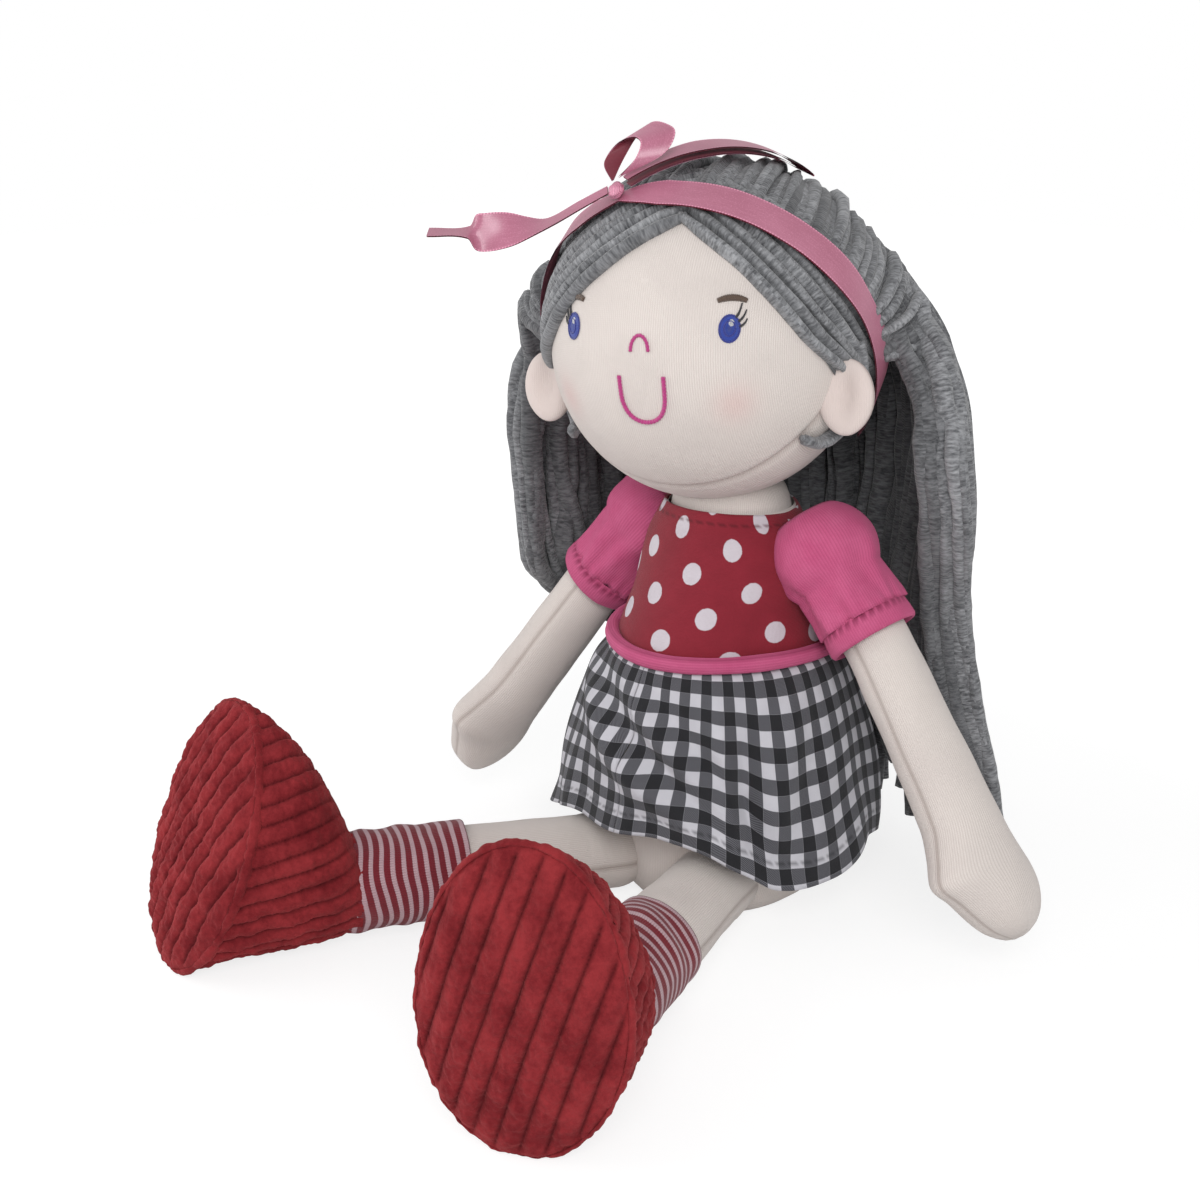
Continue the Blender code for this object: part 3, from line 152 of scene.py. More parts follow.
# Ribbon; the loop's edges and the tail are shares of their lengths
RIBBON_WIDTH = 0.0136
RIBBON_THICKNESS = 0.0005
BAND_LEAN = math.radians(38)
BAND_HALF_ARC = math.radians(128)
BOW_ANGLE = math.radians(-15)
BOW_RIGHT = Vector((0.719, 0.695, 0.0))
BOW_UP = Vector((-0.215, 0.222, 0.951))
BOW_FORWARD = Vector((0.661, -0.684, 0.309))
BOW_LOOP_LENGTH = 0.024
LOOP_NEAR = (
    (0.00, 0.00, 0.04, 0.00),
    (0.14, -0.11, 0.29, -0.13),
    (0.28, -0.07, 0.47, -0.24),
    (0.42, 0.11, 0.66, -0.20),
    (0.57, 0.33, 0.68, 0.00),
    (0.71, 0.42, 0.54, 0.17),
    (0.85, 0.33, 0.30, 0.19),
    (1.00, 0.09, 0.07, 0.05),
)
LOOP_FAR = (
    (0.00, 0.03, 0.06, -0.02),
    (0.14, 0.17, 0.42, -0.27),
    (0.28, 0.38, 0.79, -0.34),
    (0.42, 0.60, 0.97, -0.24),
    (0.57, 0.82, 0.88, -0.03),
    (0.71, 0.93, 0.70, 0.15),
    (0.85, 0.75, 0.38, 0.19),
    (1.00, 0.15, 0.11, 0.05),
)
BACK_LOOP_GOAL = Vector((0.33, 0.36, 0.87))
BACK_LOOP_ARC = math.radians(64)
BACK_LOOP_REST = 0.0036
BACK_LOOP_LIFT = 0.0026
TAIL_LENGTH = 0.062
TAIL_DROP = 0.0147
TAIL_DIRECTION = Vector((-0.72, -0.69, 0.0)).normalized()
TAIL_ROWS = (
    (0.00, 0.00, 0.40, 25),
    (0.15, 0.35, 0.55, 20),
    (0.33, 0.78, 0.80, 14),
    (0.45, 0.90, 0.96, 32),
    (0.57, 0.95, 1.00, 62),
    (0.68, 1.00, 1.00, 80),
    (0.73, 1.00, 0.96, 68),
    (0.77, 1.00, 0.80, 18),
    (1.00, 1.00, 0.76, 11),
)

# Torso: height, half width, front depth and back depth
TORSO_ROWS = (
    (0.0000, 0.0338, 0.0384, 0.0348),
    (0.0065, 0.0409, 0.0432, 0.0414),
    (0.0228, 0.0461, 0.0451, 0.0456),
    (0.0505, 0.0470, 0.0456, 0.0470),
    (0.0782, 0.0446, 0.0480, 0.0470),
    (0.1076, 0.0405, 0.0470, 0.0442),
    (0.1174, 0.0383, 0.0437, 0.0414),
    (0.1288, 0.0350, 0.0384, 0.0376),
    (0.1402, 0.0343, 0.0336, 0.0334),
    (0.1500, 0.0324, 0.0298, 0.0301),
    (0.1573, 0.0282, 0.0269, 0.0273),
    (0.1630, 0.0246, 0.0246, 0.0246),
)

# Clothes
BODICE_BOTTOM = 0.1075
BODICE_TOP = 0.1624
BODICE_FRONT_RISE = 0.0018
CLOTH = 0.0011
PIPING_HEIGHT = 0.1100
PIPING_RADIUS = 0.0029
SKIRT_TOP = 0.1069
SKIRT_HEM_REACH = 0.065
SKIRT_HEM_HEIGHT = 0.040
SKIRT_HEM_ROWS = (
    (-180, 0.92, 0.30),
    (-130, 0.98, 0.45),
    (-90, 1.06, 0.66),
    (-70, 1.15, 0.64),
    (-55, 1.16, 0.70),
    (-42, 1.06, 0.84),
    (-28, 1.00, 0.98),
    (-10, 0.99, 1.01),
    (18, 1.00, 1.10),
    (34, 1.00, 1.03),
    (45, 1.01, 0.86),
    (58, 1.02, 0.63),
    (80, 1.02, 0.63),
    (100, 1.00, 0.80),
    (130, 0.98, 0.60),
    (180, 0.92, 0.30),
)
# Slanting folds: azimuth at the waist, turn down to the hem, width and depth
SKIRT_FOLDS = (
    (-1.05, 1.75, 0.20, 0.0072),
    (-0.25, 1.20, 0.15, 0.0056),
    (0.66, 0.10, 0.08, 0.0044),
    (1.25, -0.35, 0.13, 0.0042),
    (-1.75, 0.55, 0.16, 0.0048),
    (2.30, -0.20, 0.20, 0.0040),
)

# Dots of the bodice, on its cloth
DOT_START = (0.0493, 0.0349)
DOT_TURN = math.radians(-32)
DOT_PITCH = 0.0186
DOT_RADIUS = 0.0041

# Arms
SHOULDER = Vector((0.043, 0.005, 0.148))
SHOULDER_RADIUS = 0.020
SLEEVE_DIRECTIONS = {"left": (0.656, 0.0, -0.755), "right": (-0.640, -0.18, -0.747)}
ARM_DIRECTIONS = {"left": (0.56, 0.0, -0.83), "right": (-0.520, -0.24, -0.820)}
ARM_BEND = 0.040
ARM_LENGTH = 0.160
ARM_RADIUS = 0.0125
ARM_ROWS = (
    (0.02, 0.98, 0.98, 0.98),
    (0.10, 1.00, 1.00, 1.00),
    (0.28, 1.04, 1.04, 1.04),
    (0.50, 1.18, 1.14, 1.08),
    (0.68, 1.30, 1.22, 1.12),
    (0.75, 1.76, 1.30, 1.14),
    (0.805, 2.14, 1.48, 1.16),
    (0.855, 1.66, 1.66, 1.12),
    (0.905, 1.24, 1.70, 1.02),
    (0.950, 0.80, 1.46, 0.82),
    (0.975, 0.40, 1.14, 0.60),
    (0.988, 0.14, 0.80, 0.36),
)
SLEEVE_RADIUS = 0.0165
SLEEVE_LENGTHS = {"left": 0.0285, "right": 0.0345}

# Legs and socks
HIPS = {"left": Vector((0.024, -0.031, 0.0175)), "right": Vector((-0.024, -0.043, 0.0175))}
LEG_SPLAYS = {"left": math.radians(18), "right": math.radians(25)}
LEG_RISE = math.radians(3)
THIGH_RADIUS = 0.0152
LEG_ROWS = (
    (0.12, 1.03),
    (0.35, 1.07),
    (0.55, 1.12),
    (0.80, 1.10),
    (1.00, 1.08),
)
SOCK_START = 0.064
ANKLE = 0.109
SOCK_RADIUS = 0.0192

# Shoes
SOLE_DISTANCES = {"left": 0.165, "right": 0.177}
SOLE_LENGTH = 0.1035
SOLE_WIDTH = 0.0690
SOLE_WAIST_SHARE = 0.46
SOLE_BULGE = 0.0066
SHOE_TURNS = {"left": math.radians(10), "right": math.radians(16)}
SHOE_LEANS = {"left": math.radians(-2), "right": math.radians(-20)}
SHOE_ROLLS = {"left": math.radians(0), "right": math.radians(8)}
SHOE_GROWTH = (
    (0.00, 0.00),
    (0.10, 0.21),
    (0.24, 0.42),
    (0.42, 0.62),
    (0.64, 0.80),
    (0.84, 0.93),
    (1.00, 1.00),
)
WALE = 0.0079
WALE_DEPTH = 0.0025


def srgb(red, green, blue):
    """A colour as it is seen, from 0 to 255, in the linear values that shaders take."""
    parts = []
    for value in (red, green, blue):
        share = value / 255
        parts.append(share / 12.92 if share <= 0.04045 else ((share + 0.055) / 1.055) ** 2.4)
    return tuple(parts)


class Paint:
    """One fabric's nodes. Each call adds a node and returns its output socket."""

    def __init__(self, name, roughness=0.9, sheen=0.0, sheen_tint=(1, 1, 1), specular=0.3):
        self.material = bpy.data.materials.new(name)
        self.material.use_nodes = True
        self.tree = self.material.node_tree
        self.shader = self.tree.nodes["Principled BSDF"]
        self.shader.inputs["Roughness"].default_value = roughness
        self.shader.inputs["Sheen Weight"].default_value = sheen
        self.shader.inputs["Sheen Tint"].default_value = (*sheen_tint, 1)
        self.shader.inputs["Specular IOR Level"].default_value = specular

    def feed(self, socket, value):
        if isinstance(value, bpy.types.NodeSocket):
            self.tree.links.new(value, socket)
        elif value is not None:
            socket.default_value = value

    def cloth(self):
        """The place on the cloth in metres: across and along."""
        made = self.tree.nodes.new("ShaderNodeUVMap")
        made.uv_map = "Cloth"
        parts = self.tree.nodes.new("ShaderNodeSeparateXYZ")
        self.tree.links.new(made.outputs[0], parts.inputs[0])
        return parts.outputs[0], parts.outputs[1]

    def place(self):
        return self.tree.nodes.new("ShaderNodeTexCoord").outputs["Object"]

    def vector(self, x, y, z=0.0):
        made = self.tree.nodes.new("ShaderNodeCombineXYZ")
        for socket, value in zip(made.inputs, (x, y, z)):
            self.feed(socket, value)
        return made.outputs[0]

    def attribute(self, name):
        made = self.tree.nodes.new("ShaderNodeAttribute")
        made.attribute_name = name
        return made.outputs["Fac"]

    def math(self, operation, a, b=None, c=None, clamp=False):
        made = self.tree.nodes.new("ShaderNodeMath")
        made.operation = operation
        made.use_clamp = clamp
        for socket, value in zip(made.inputs, (a, b, c)):
            self.feed(socket, value)
        return made.outputs[0]

    def wave(self, value, pitch):
        """A cosine between 0 and 1 with that pitch."""
        turn = self.math("COSINE", self.math("MULTIPLY", value, TAU / pitch))
        return self.math("MULTIPLY_ADD", turn, 0.5, 0.5)

    def smooth(self, value, low, high):
        made = self.tree.nodes.new("ShaderNodeMapRange")
        made.interpolation_type = "SMOOTHSTEP"
        self.feed(made.inputs["Value"], value)
        made.inputs["From Min"].default_value = low
        made.inputs["From Max"].default_value = high
        return made.outputs[0]

    def noise(self, vector, scale, detail=2.0, roughness=0.5):
        made = self.tree.nodes.new("ShaderNodeTexNoise")
        self.feed(made.inputs["Vector"], vector)
        made.inputs["Scale"].default_value = scale
        made.inputs["Detail"].default_value = detail
        made.inputs["Roughness"].default_value = roughness
        return made.outputs["Fac"]

    def mix(self, share, a, b):
        made = self.tree.nodes.new("ShaderNodeMix")
        made.data_type = "RGBA"
        self.feed(made.inputs[0], share)
        for socket, colour in ((made.inputs[6], a), (made.inputs[7], b)):
            self.feed(socket, colour if isinstance(colour, bpy.types.NodeSocket) else (*colour, 1))
        return made.outputs[2]

    def finish(self, colour, height=None, distance=0.0004, strength=1.0):
        self.feed(self.shader.inputs["Base Color"], colour)
        if height is not None:
            bump = self.tree.nodes.new("ShaderNodeBump")
            bump.inputs["Strength"].default_value = strength
            bump.inputs["Distance"].default_value = distance
            self.feed(bump.inputs["Height"], height)
            self.feed(self.shader.inputs["Normal"], bump.outputs[0])
        return self.material

    def knit(self, across, along, wale, course):
        """Height of a plain knit: columns of V stitches."""
        column = self.math("FRACT", self.math("DIVIDE", across, wale))
        arm = self.math("ABSOLUTE", self.math("SUBTRACT", column, 0.5))
        row = self.math("ADD", self.math("DIVIDE", along, course), arm)
        stitch = self.math("ABSOLUTE", self.math("SINE", self.math("MULTIPLY", row, math.pi)))
        ridge = self.math("SINE", self.math("MULTIPLY", column, math.pi))
        return self.math("MULTIPLY", self.math("MULTIPLY_ADD", stitch, 0.4, 0.6), ridge)


def tinted(colour, factor):
    return tuple(min(1.0, part * factor) for part in colour)


def cream_material():
    p = Paint("cream_knit", 0.92, sheen=0.15)
    across, along = p.cloth()
    height = p.knit(across, along, 0.00085, 0.0007)
    cloudy = p.noise(p.place(), 45.0, 3.0)
    # Painted shade: the knit's low stitch gaps are darker and its ridges lighter, following the stitch
    # height.
    light = p.mix(height, srgb(198, 188, 182), srgb(213, 205, 200))
    base = p.mix(p.smooth(cloudy, 0.35, 0.75), light, srgb(202, 193, 188))
    blushed = p.mix(p.attribute("blush"), base, srgb(205, 150, 148))
    seamed = p.mix(p.attribute("seam"), blushed, srgb(132, 114, 106))
    fuzz = p.noise(p.place(), 900.0, 2.0)
    return p.finish(seamed, p.math("MULTIPLY_ADD", fuzz, 0.5, height), 0.00018, 0.8)


def ear_material():
    p = Paint("ear_knit", 0.95, sheen=0.25)
    across, along = p.cloth()
    height = p.knit(across, along, 0.0008, 0.0007)
    cloudy = p.noise(p.place(), 60.0, 2.0)
    base = p.mix(cloudy, srgb(198, 184, 179), srgb(210, 197, 192))
    seamed = p.mix(p.attribute("seam"), base, srgb(146, 124, 116))
    return p.finish(seamed, height, 0.00012, 0.7)


def hair_material():
    p = Paint("hair_jersey", 0.95, sheen=0.25)
    across, along = p.cloth()
    tint = p.attribute("tint")
    shifted = p.vector(p.math("MULTIPLY", across, 260.0), p.math("MULTIPLY", along, 900.0), tint)
    fleck = p.noise(shifted, 1.0, 3.0, 0.65)
    coarse = p.noise(p.vector(p.math("MULTIPLY", along, 60.0), p.math("MULTIPLY", tint, 40.0)), 1.0, 2.0)
    shade = p.math("MULTIPLY_ADD", coarse, 0.35, p.math("MULTIPLY", fleck, 0.8))
    ramp = p.smooth(shade, 0.32, 0.82)
    base = p.mix(ramp, srgb(60, 61, 64), srgb(160, 161, 164))
    varied = p.mix(p.math("MULTIPLY", tint, 0.45), base, srgb(72, 73, 76))
    # Painted shade: inner layers of strands and the cap backing are darkened towards dark grey.
    shaded = p.mix(p.math("MULTIPLY", p.attribute("deep"), 0.45), varied, srgb(40, 40, 42))
    rib = p.wave(along, 0.0011)
    return p.finish(shaded, p.math("MULTIPLY_ADD", fleck, 1.0, p.math("MULTIPLY", rib, 0.4)), 0.0004, 0.8)


def satin_material(name, light, dark, roughness):
    p = Paint(name, roughness, sheen=0.2, sheen_tint=srgb(230, 150, 170), specular=0.6)
    across, along = p.cloth()
    streaks = p.noise(p.vector(p.math("MULTIPLY", across, 2600.0), p.math("MULTIPLY", along, 90.0)), 1.0, 2.0)
    # The cloudy mottle is painted shade and highlight of folds; the fine spots below are painted glints of
    # highlight.
    cloudy = p.noise(p.place(), 45.0, 1.0)
    painted_glints = p.smooth(p.noise(p.place(), 2200.0, 1.0), 0.5, 0.75)
    painted_fold_shade_and_streaks = p.math("MULTIPLY_ADD", cloudy, 0.55, p.math("MULTIPLY", streaks, 0.35))
    # Colour runs from the dark colour, a painted shade, to the light colour, a painted highlight; the warp
    # streaks in it are the satin's own lines.
    base = p.mix(p.math("MULTIPLY_ADD", painted_glints, 0.25, painted_fold_shade_and_streaks), dark, light)
    edge = p.smooth(p.math("ABSOLUTE", across), RIBBON_WIDTH * 0.44, RIBBON_WIDTH * 0.48)
    dots = p.math("MULTIPLY", edge, p.wave(along, 0.0011))
    picot = p.mix(dots, base, tinted(light, 1.25))
    return p.finish(picot, p.math("MULTIPLY_ADD", dots, 1.0, p.math("MULTIPLY", streaks, 0.3)), 0.00015, 0.6)


def dotted_material():
    p = Paint("dotted_cotton", 0.85, sheen=0.1)
    across, along = p.cloth()
    aside = p.math("SUBTRACT", across, DOT_START[0])
    above = p.math("SUBTRACT", along, DOT_START[1])
    turned = []
    for near, tall in ((math.cos(DOT_TURN), math.sin(DOT_TURN)), (-math.sin(DOT_TURN), math.cos(DOT_TURN))):
        turned.append(p.math("ADD", p.math("MULTIPLY", aside, near), p.math("MULTIPLY", above, tall)))
    cells = [p.math("SUBTRACT", p.math("FRACT", p.math("MULTIPLY_ADD", v, 1 / DOT_PITCH, 0.5)),
        0.5) for v in turned]
    square = p.math("ADD", p.math("MULTIPLY", cells[0], cells[0]), p.math("MULTIPLY", cells[1], cells[1]))
    far = p.math("MULTIPLY", p.math("SQRT", square), DOT_PITCH)
    ragged = p.math("MULTIPLY", p.noise(p.place(), 700.0, 2.0), 0.0005)
    dots = p.smooth(p.math("ADD", far, ragged), DOT_RADIUS + 0.0004, DOT_RADIUS)
    cloudy = p.noise(p.place(), 90.0, 3.0)
    red = p.mix(cloudy, srgb(114, 22, 36), srgb(138, 32, 48))
    white = p.mix(cloudy, srgb(184, 174, 182), srgb(204, 198, 204))
    weave = p.math("MULTIPLY", p.wave(across, 0.0005), p.wave(along, 0.0005))
    threads = p.noise(p.vector(p.math("MULTIPLY", across, 900.0), p.math("MULTIPLY", along, 2600.0)), 1.0,
        2.0)
    colour = p.mix(p.attribute("seam"), p.mix(dots, red, white), srgb(78, 10, 22))
    return p.finish(colour, p.math("ADD", weave, threads), 0.00016, 0.7)


def pink_material():
    p = Paint("pink_jersey", 0.9, sheen=0.2, sheen_tint=srgb(255, 150, 190))
    across, along = p.cloth()
    height = p.knit(across, along, 0.0010, 0.0009)
    cloudy = p.noise(p.place(), 110.0, 4.0, 0.6)
    base = p.mix(cloudy, srgb(174, 66, 108), srgb(198, 100, 138))
    # Painted shade: the knit's low stitch gaps are darkened.
    top = p.mix(p.math("MULTIPLY_ADD", height, 0.4, 0.6), srgb(156, 54, 92), base)
    colour = p.mix(p.attribute("seam"), top, srgb(118, 34, 66))
    return p.finish(colour, height, 0.0002, 0.7)


def gingham_material():
    p = Paint("checked_cotton", 0.88, sheen=0.1)
    across, along = p.cloth()
    check = 0.0058
    bands = []
    for value in (across, along):
        phase = p.math("FRACT", p.math("DIVIDE", value, 2 * check))
        ripple = p.math("MULTIPLY", p.noise(p.vector(p.math("MULTIPLY", across, 1500.0), along), 1.0, 1.0),
            0.02)
        far = p.math("ABSOLUTE", p.math("SUBTRACT", p.math("ADD", phase, ripple), 0.51))
        bands.append(p.smooth(far, 0.262, 0.238))
    twill = p.wave(p.math("ADD", across, along), 0.00072)
    both = p.math("MULTIPLY", bands[0], bands[1])
    either = p.math("SUBTRACT", p.math("ADD", bands[0], bands[1]), p.math("MULTIPLY", both, 2.0))
    cloudy = p.noise(p.place(), 130.0, 3.0)
    pale = p.mix(cloudy, srgb(176, 175, 182), srgb(196, 195, 201))
    grey = p.mix(twill, srgb(44, 44, 48), srgb(104, 104, 110))
    black = p.mix(cloudy, srgb(24, 24, 27), srgb(36, 36, 40))
    colour = p.mix(either, p.mix(both, pale, black), grey)
    stitched = p.mix(p.attribute("seam"), colour, srgb(30, 30, 33))
    threads = p.noise(p.vector(p.math("MULTIPLY", across, 2400.0), p.math("MULTIPLY", along, 900.0)), 1.0,
        2.0)
    return p.finish(stitched, p.math("ADD", p.math("MULTIPLY", twill, 0.5), threads), 0.00016, 0.7)


def sock_material():
    p = Paint("striped_knit", 0.9, sheen=0.15)
    across, along = p.cloth()
    pitch = 0.0040
    tooth = p.math("ABSOLUTE", p.math("SUBTRACT", p.math("FRACT", p.math("DIVIDE", across, 0.0009)), 0.5))
    shifted = p.math("MULTIPLY_ADD", tooth, 0.0005, along)
    far = p.math("ABSOLUTE", p.math("SUBTRACT", p.math("FRACT", p.math("DIVIDE", shifted, pitch)), 0.5))
    stripe = p.smooth(far, 0.225, 0.19)
    cloudy = p.noise(p.place(), 160.0, 3.0)
    red = p.mix(cloudy, srgb(106, 26, 36), srgb(126, 36, 48))
    pale = p.mix(cloudy, srgb(178, 146, 154), srgb(196, 170, 176))
    height = p.knit(across, along, 0.0009, 0.0008)
    # Painted shade: the knit's low stitch gaps are darkened over the stripes.
    colour = p.mix(p.math("MULTIPLY_ADD", height, 0.3, 0.7), srgb(76, 16, 26), p.mix(stripe, red, pale))
    return p.finish(colour, height, 0.00022, 0.8)


def velvet_material():
    p = Paint("corded_velvet", 0.95, sheen=0.3, sheen_tint=srgb(220, 110, 110), specular=0.15)
    place = p.place()
    pile = p.noise(place, 420.0, 4.0, 0.7)
    cloudy = p.noise(place, 75.0, 3.0)
    groove = p.attribute("groove")
    shade = p.math("MULTIPLY_ADD", cloudy, 0.6, p.math("MULTIPLY", pile, 0.4))
    base = p.mix(p.smooth(shade, 0.3, 0.7), srgb(100, 22, 28), srgb(140, 44, 48))
    # Painted shade: the grooves between the cords are darkened.
    colour = p.mix(groove, base, srgb(54, 8, 14))
    return p.finish(colour, pile, 0.0009, 0.8)


def thread_material(name, colour):
    p = Paint(name, 0.55, sheen=0.3, specular=0.5)
    across, along = p.cloth()
    ply = p.wave(p.math("MULTIPLY_ADD", across, 1.2, along), 0.0006)
    # Painted shade between the twisted plies and painted highlight on their crowns.
    base = p.mix(ply, tinted(colour, 0.6), tinted(colour, 1.25))
    return p.finish(base, ply, 0.00015, 0.8)


class Surface:
    """Gathers grids of points into one mesh, with cloth coordinates in metres and point values."""

    def __init__(self):
        self.points = []
        self.faces = []
        self.coords = []
        self.slots = []
        self.values = {}

    def grid(self, rows, wrap=False, first=None, last=None, cloth=None, slot=0, **values):
        """rows of points; cloth(row, column) is the cloth place; values hold numbers or rows of them."""
        base = len(self.points)
        count = len(rows[0])
        for row in rows:
            self.points.extend(row)
        for name, value in values.items():
            kept = self.values.setdefault(name, {})
            for r in range(len(rows)):
                for c in range(count):
                    amount = value if isinstance(value, (int, float)) else value[r][c]
                    kept[base + r * count + c] = amount
        columns = count if wrap else count - 1
        for r in range(len(rows) - 1):
            near = base + r * count
            far = near + count
            for c in range(columns):
                d = (c + 1) % count
                self.add((near + c, near + d, far + d, far + c),
                    [(r, c), (r, c + 1), (r + 1, c + 1), (r + 1, c)], cloth, slot)
        for pole, row in ((first, 0), (last, len(rows) - 1)):
            if pole is None:
                continue
            self.points.append(pole)
            tip = len(self.points) - 1
            near = base + row * count
            for c in range(columns):
                d = (c + 1) % count
                self.add((near + c, near + d, tip), [(row, c), (row, c + 1), (row, c + 0.5)], cloth, slot)

    def add(self, corners, keys, cloth, slot):
        self.faces.append(corners)
        self.coords.append([cloth(*key) if cloth else (0.0, 0.0) for key in keys])
        self.slots.append(slot)

    def build(self, name, *materials, recalculate=True):
        mesh = bpy.data.meshes.new(name)
        mesh.from_pydata([tuple(p) for p in self.points], [], self.faces)
        layer = mesh.uv_layers.new(name="Cloth")
        flat = [number for face in self.coords for pair in face for number in pair]
        layer.data.foreach_set("uv", flat)
        for key, kept in self.values.items():
            attribute = mesh.attributes.new(key, "FLOAT", "POINT")
            attribute.data.foreach_set("value", [kept.get(i, 0.0) for i in range(len(self.points))])
        for material in materials:
            mesh.materials.append(material)
        mesh.polygons.foreach_set("material_index", self.slots)
        if recalculate:
            bm = bmesh.new()
            bm.from_mesh(mesh)
            bmesh.ops.recalc_face_normals(bm, faces=bm.faces)
            bm.to_mesh(mesh)
            bm.free()
        mesh.shade_smooth()
        made = bpy.data.objects.new(name, mesh)
        bpy.context.scene.collection.objects.link(made)
        return made


def place(obj, body, slot, *nodes):
    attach(obj, body)
    if nodes:
        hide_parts(*nodes)
    return obj


def sample(rows, position):
    """Values of a table at a position, on a smooth curve through its rows."""
    if position <= rows[0][0]:
        return rows[0][1:]
    if position >= rows[-1][0]:
        return rows[-1][1:]
    i = max(k for k in range(len(rows) - 1) if rows[k][0] <= position)
    low, high = rows[i], rows[i + 1]
    before = rows[max(i - 1, 0)]
    after = rows[min(i + 2, len(rows) - 1)]
    width = high[0] - low[0]
    t = (position - low[0]) / width
    values = []
    for a, b, c, d in zip(before[1:], low[1:], high[1:], after[1:]):
        into = (c - a) / max(high[0] - before[0], 1e-9) * width
        out = (d - b) / max(after[0] - low[0], 1e-9) * width
        values.append(
            (2 * t ** 3 - 3 * t ** 2 + 1) * b + (t ** 3 - 2 * t ** 2 + t) * into
            + (3 * t ** 2 - 2 * t ** 3) * c + (t ** 3 - t ** 2) * out
        )
    return tuple(values)


def curve_through(points, count):
    """A smooth path through points, evenly spaced along its length."""
    rows = [(float(i), *p) for i, p in enumerate(points)]
    fine = [Vector(sample(rows, (len(points) - 1) * i / 200)) for i in range(201)]
    lengths = [0.0]
    for a, b in zip(fine, fine[1:]):
        lengths.append(lengths[-1] + (b - a).length)
    path = []
    k = 0
    for i in range(count):
        goal = lengths[-1] * i / (count - 1)
        while k < 199 and lengths[k + 1] < goal:
            k += 1
        step = lengths[k + 1] - lengths[k]
        path.append(fine[k].lerp(fine[k + 1], (goal - lengths[k]) / step if step else 0.0))
    return path


def frames_along(path, hint, follow=None):
    """For each point of a path: its direction and two square directions that don't spin.

    With follow, the first of the two looks away from that point all the way.
    """
    made = []
    up = hint
    for i, point in enumerate(path):
        along = (path[min(i + 1, len(path) - 1)] - path[max(i - 1, 0)]).normalized()
        if follow:
            up = point - follow
        up = (up - along * up.dot(along)).normalized()
        made.append((along, up, along.cross(up)))
    return made


def add_tube(surface, path, radii, sides, hint, section=None, twist=0.0, start=0.0, follow=None, **values):
    """A closed tube along a path; section gives the radius share around it."""
    rows = []
    travelled = [start]
    for a, b in zip(path, path[1:]):
        travelled.append(travelled[-1] + (b - a).length)
    for i, (point, (along, up, side)) in enumerate(zip(path, frames_along(path, hint, follow))):
        radius = radii[i] if isinstance(radii, (list, tuple)) else radii
        ring = []
        for k in range(sides):
            angle = TAU * k / sides
            reach = radius * (section[k] if section else 1.0)
            spun = angle + twist * i
            ring.append(point + up * (reach * math.cos(spun)) + side * (reach * math.sin(spun)))
        rows.append(ring)
    wide = TAU * (radii if isinstance(radii, (int, float)) else radii[0])
    surface.grid(
        rows, wrap=True, first=path[0], last=path[-1],
        cloth=lambda r, c: (wide * c / sides, travelled[r]), **values
    )
    return rows


def wobble(point, scale, seed=0.0):
    return noise.noise(Vector((point[0] * scale + seed, point[1] * scale - seed, point[2] * scale)))


def head_matrix():
    turn = (
        Matrix.Rotation(HEAD_TURN, 4, "Z")
        @ Matrix.Rotation(-HEAD_TILT_BACK, 4, "X")
        @ Matrix.Rotation(-HEAD_ROLL, 4, "Y")
    )
    return Matrix.Translation(HEAD_CENTRE) @ turn


HEAD = head_matrix()
CREAM = cream_material()
EAR = ear_material()
HAIR = hair_material()
# Each satin gets a painted highlight colour and a painted shade colour; the reverse side's pair is darker.
SATIN = satin_material("satin_face", srgb(204, 136, 160), srgb(138, 66, 90), 0.30)
SATIN_BACK = satin_material("satin_back", srgb(128, 44, 60), srgb(96, 28, 42), 0.5)
DOTTED = dotted_material()
PINK = pink_material()
GINGHAM = gingham_material()
SOCK = sock_material()
VELVET = velvet_material()
MAGENTA_THREAD = thread_material("magenta_thread", srgb(184, 46, 124))
BLUE_THREAD = thread_material("blue_thread", srgb(34, 62, 158))
BROWN_THREAD = thread_material("brown_thread", srgb(86, 66, 52))
BLACK_THREAD = thread_material("black_thread", srgb(30, 28, 34))
WHITE_THREAD = thread_material("white_thread", srgb(232, 232, 240))


def make_camera():
    camera = bpy.data.objects.new("camera", bpy.data.cameras.new("camera"))
    camera.location = CAMERA_PLACE
    camera.rotation_euler = Vector(CAMERA_AXIS).to_track_quat("-Z", "Y").to_euler()
    camera.data.lens = CAMERA_LENS
    camera.data.sensor_width = 36
    camera.data.clip_start = 0.01
    bpy.context.scene.collection.objects.link(camera)
    bpy.context.scene.camera = camera


def add_area_light(name, location, size, power):
    light = bpy.data.lights.new(name, "AREA")
    light.size = size
    light.energy = power
    made = bpy.data.objects.new(name, light)
    made.location = location
    made.rotation_euler = (Vector((0, -0.02, 0.12)) - Vector(location)).to_track_quat("-Z", "Y").to_euler()
    bpy.context.scene.collection.objects.link(made)


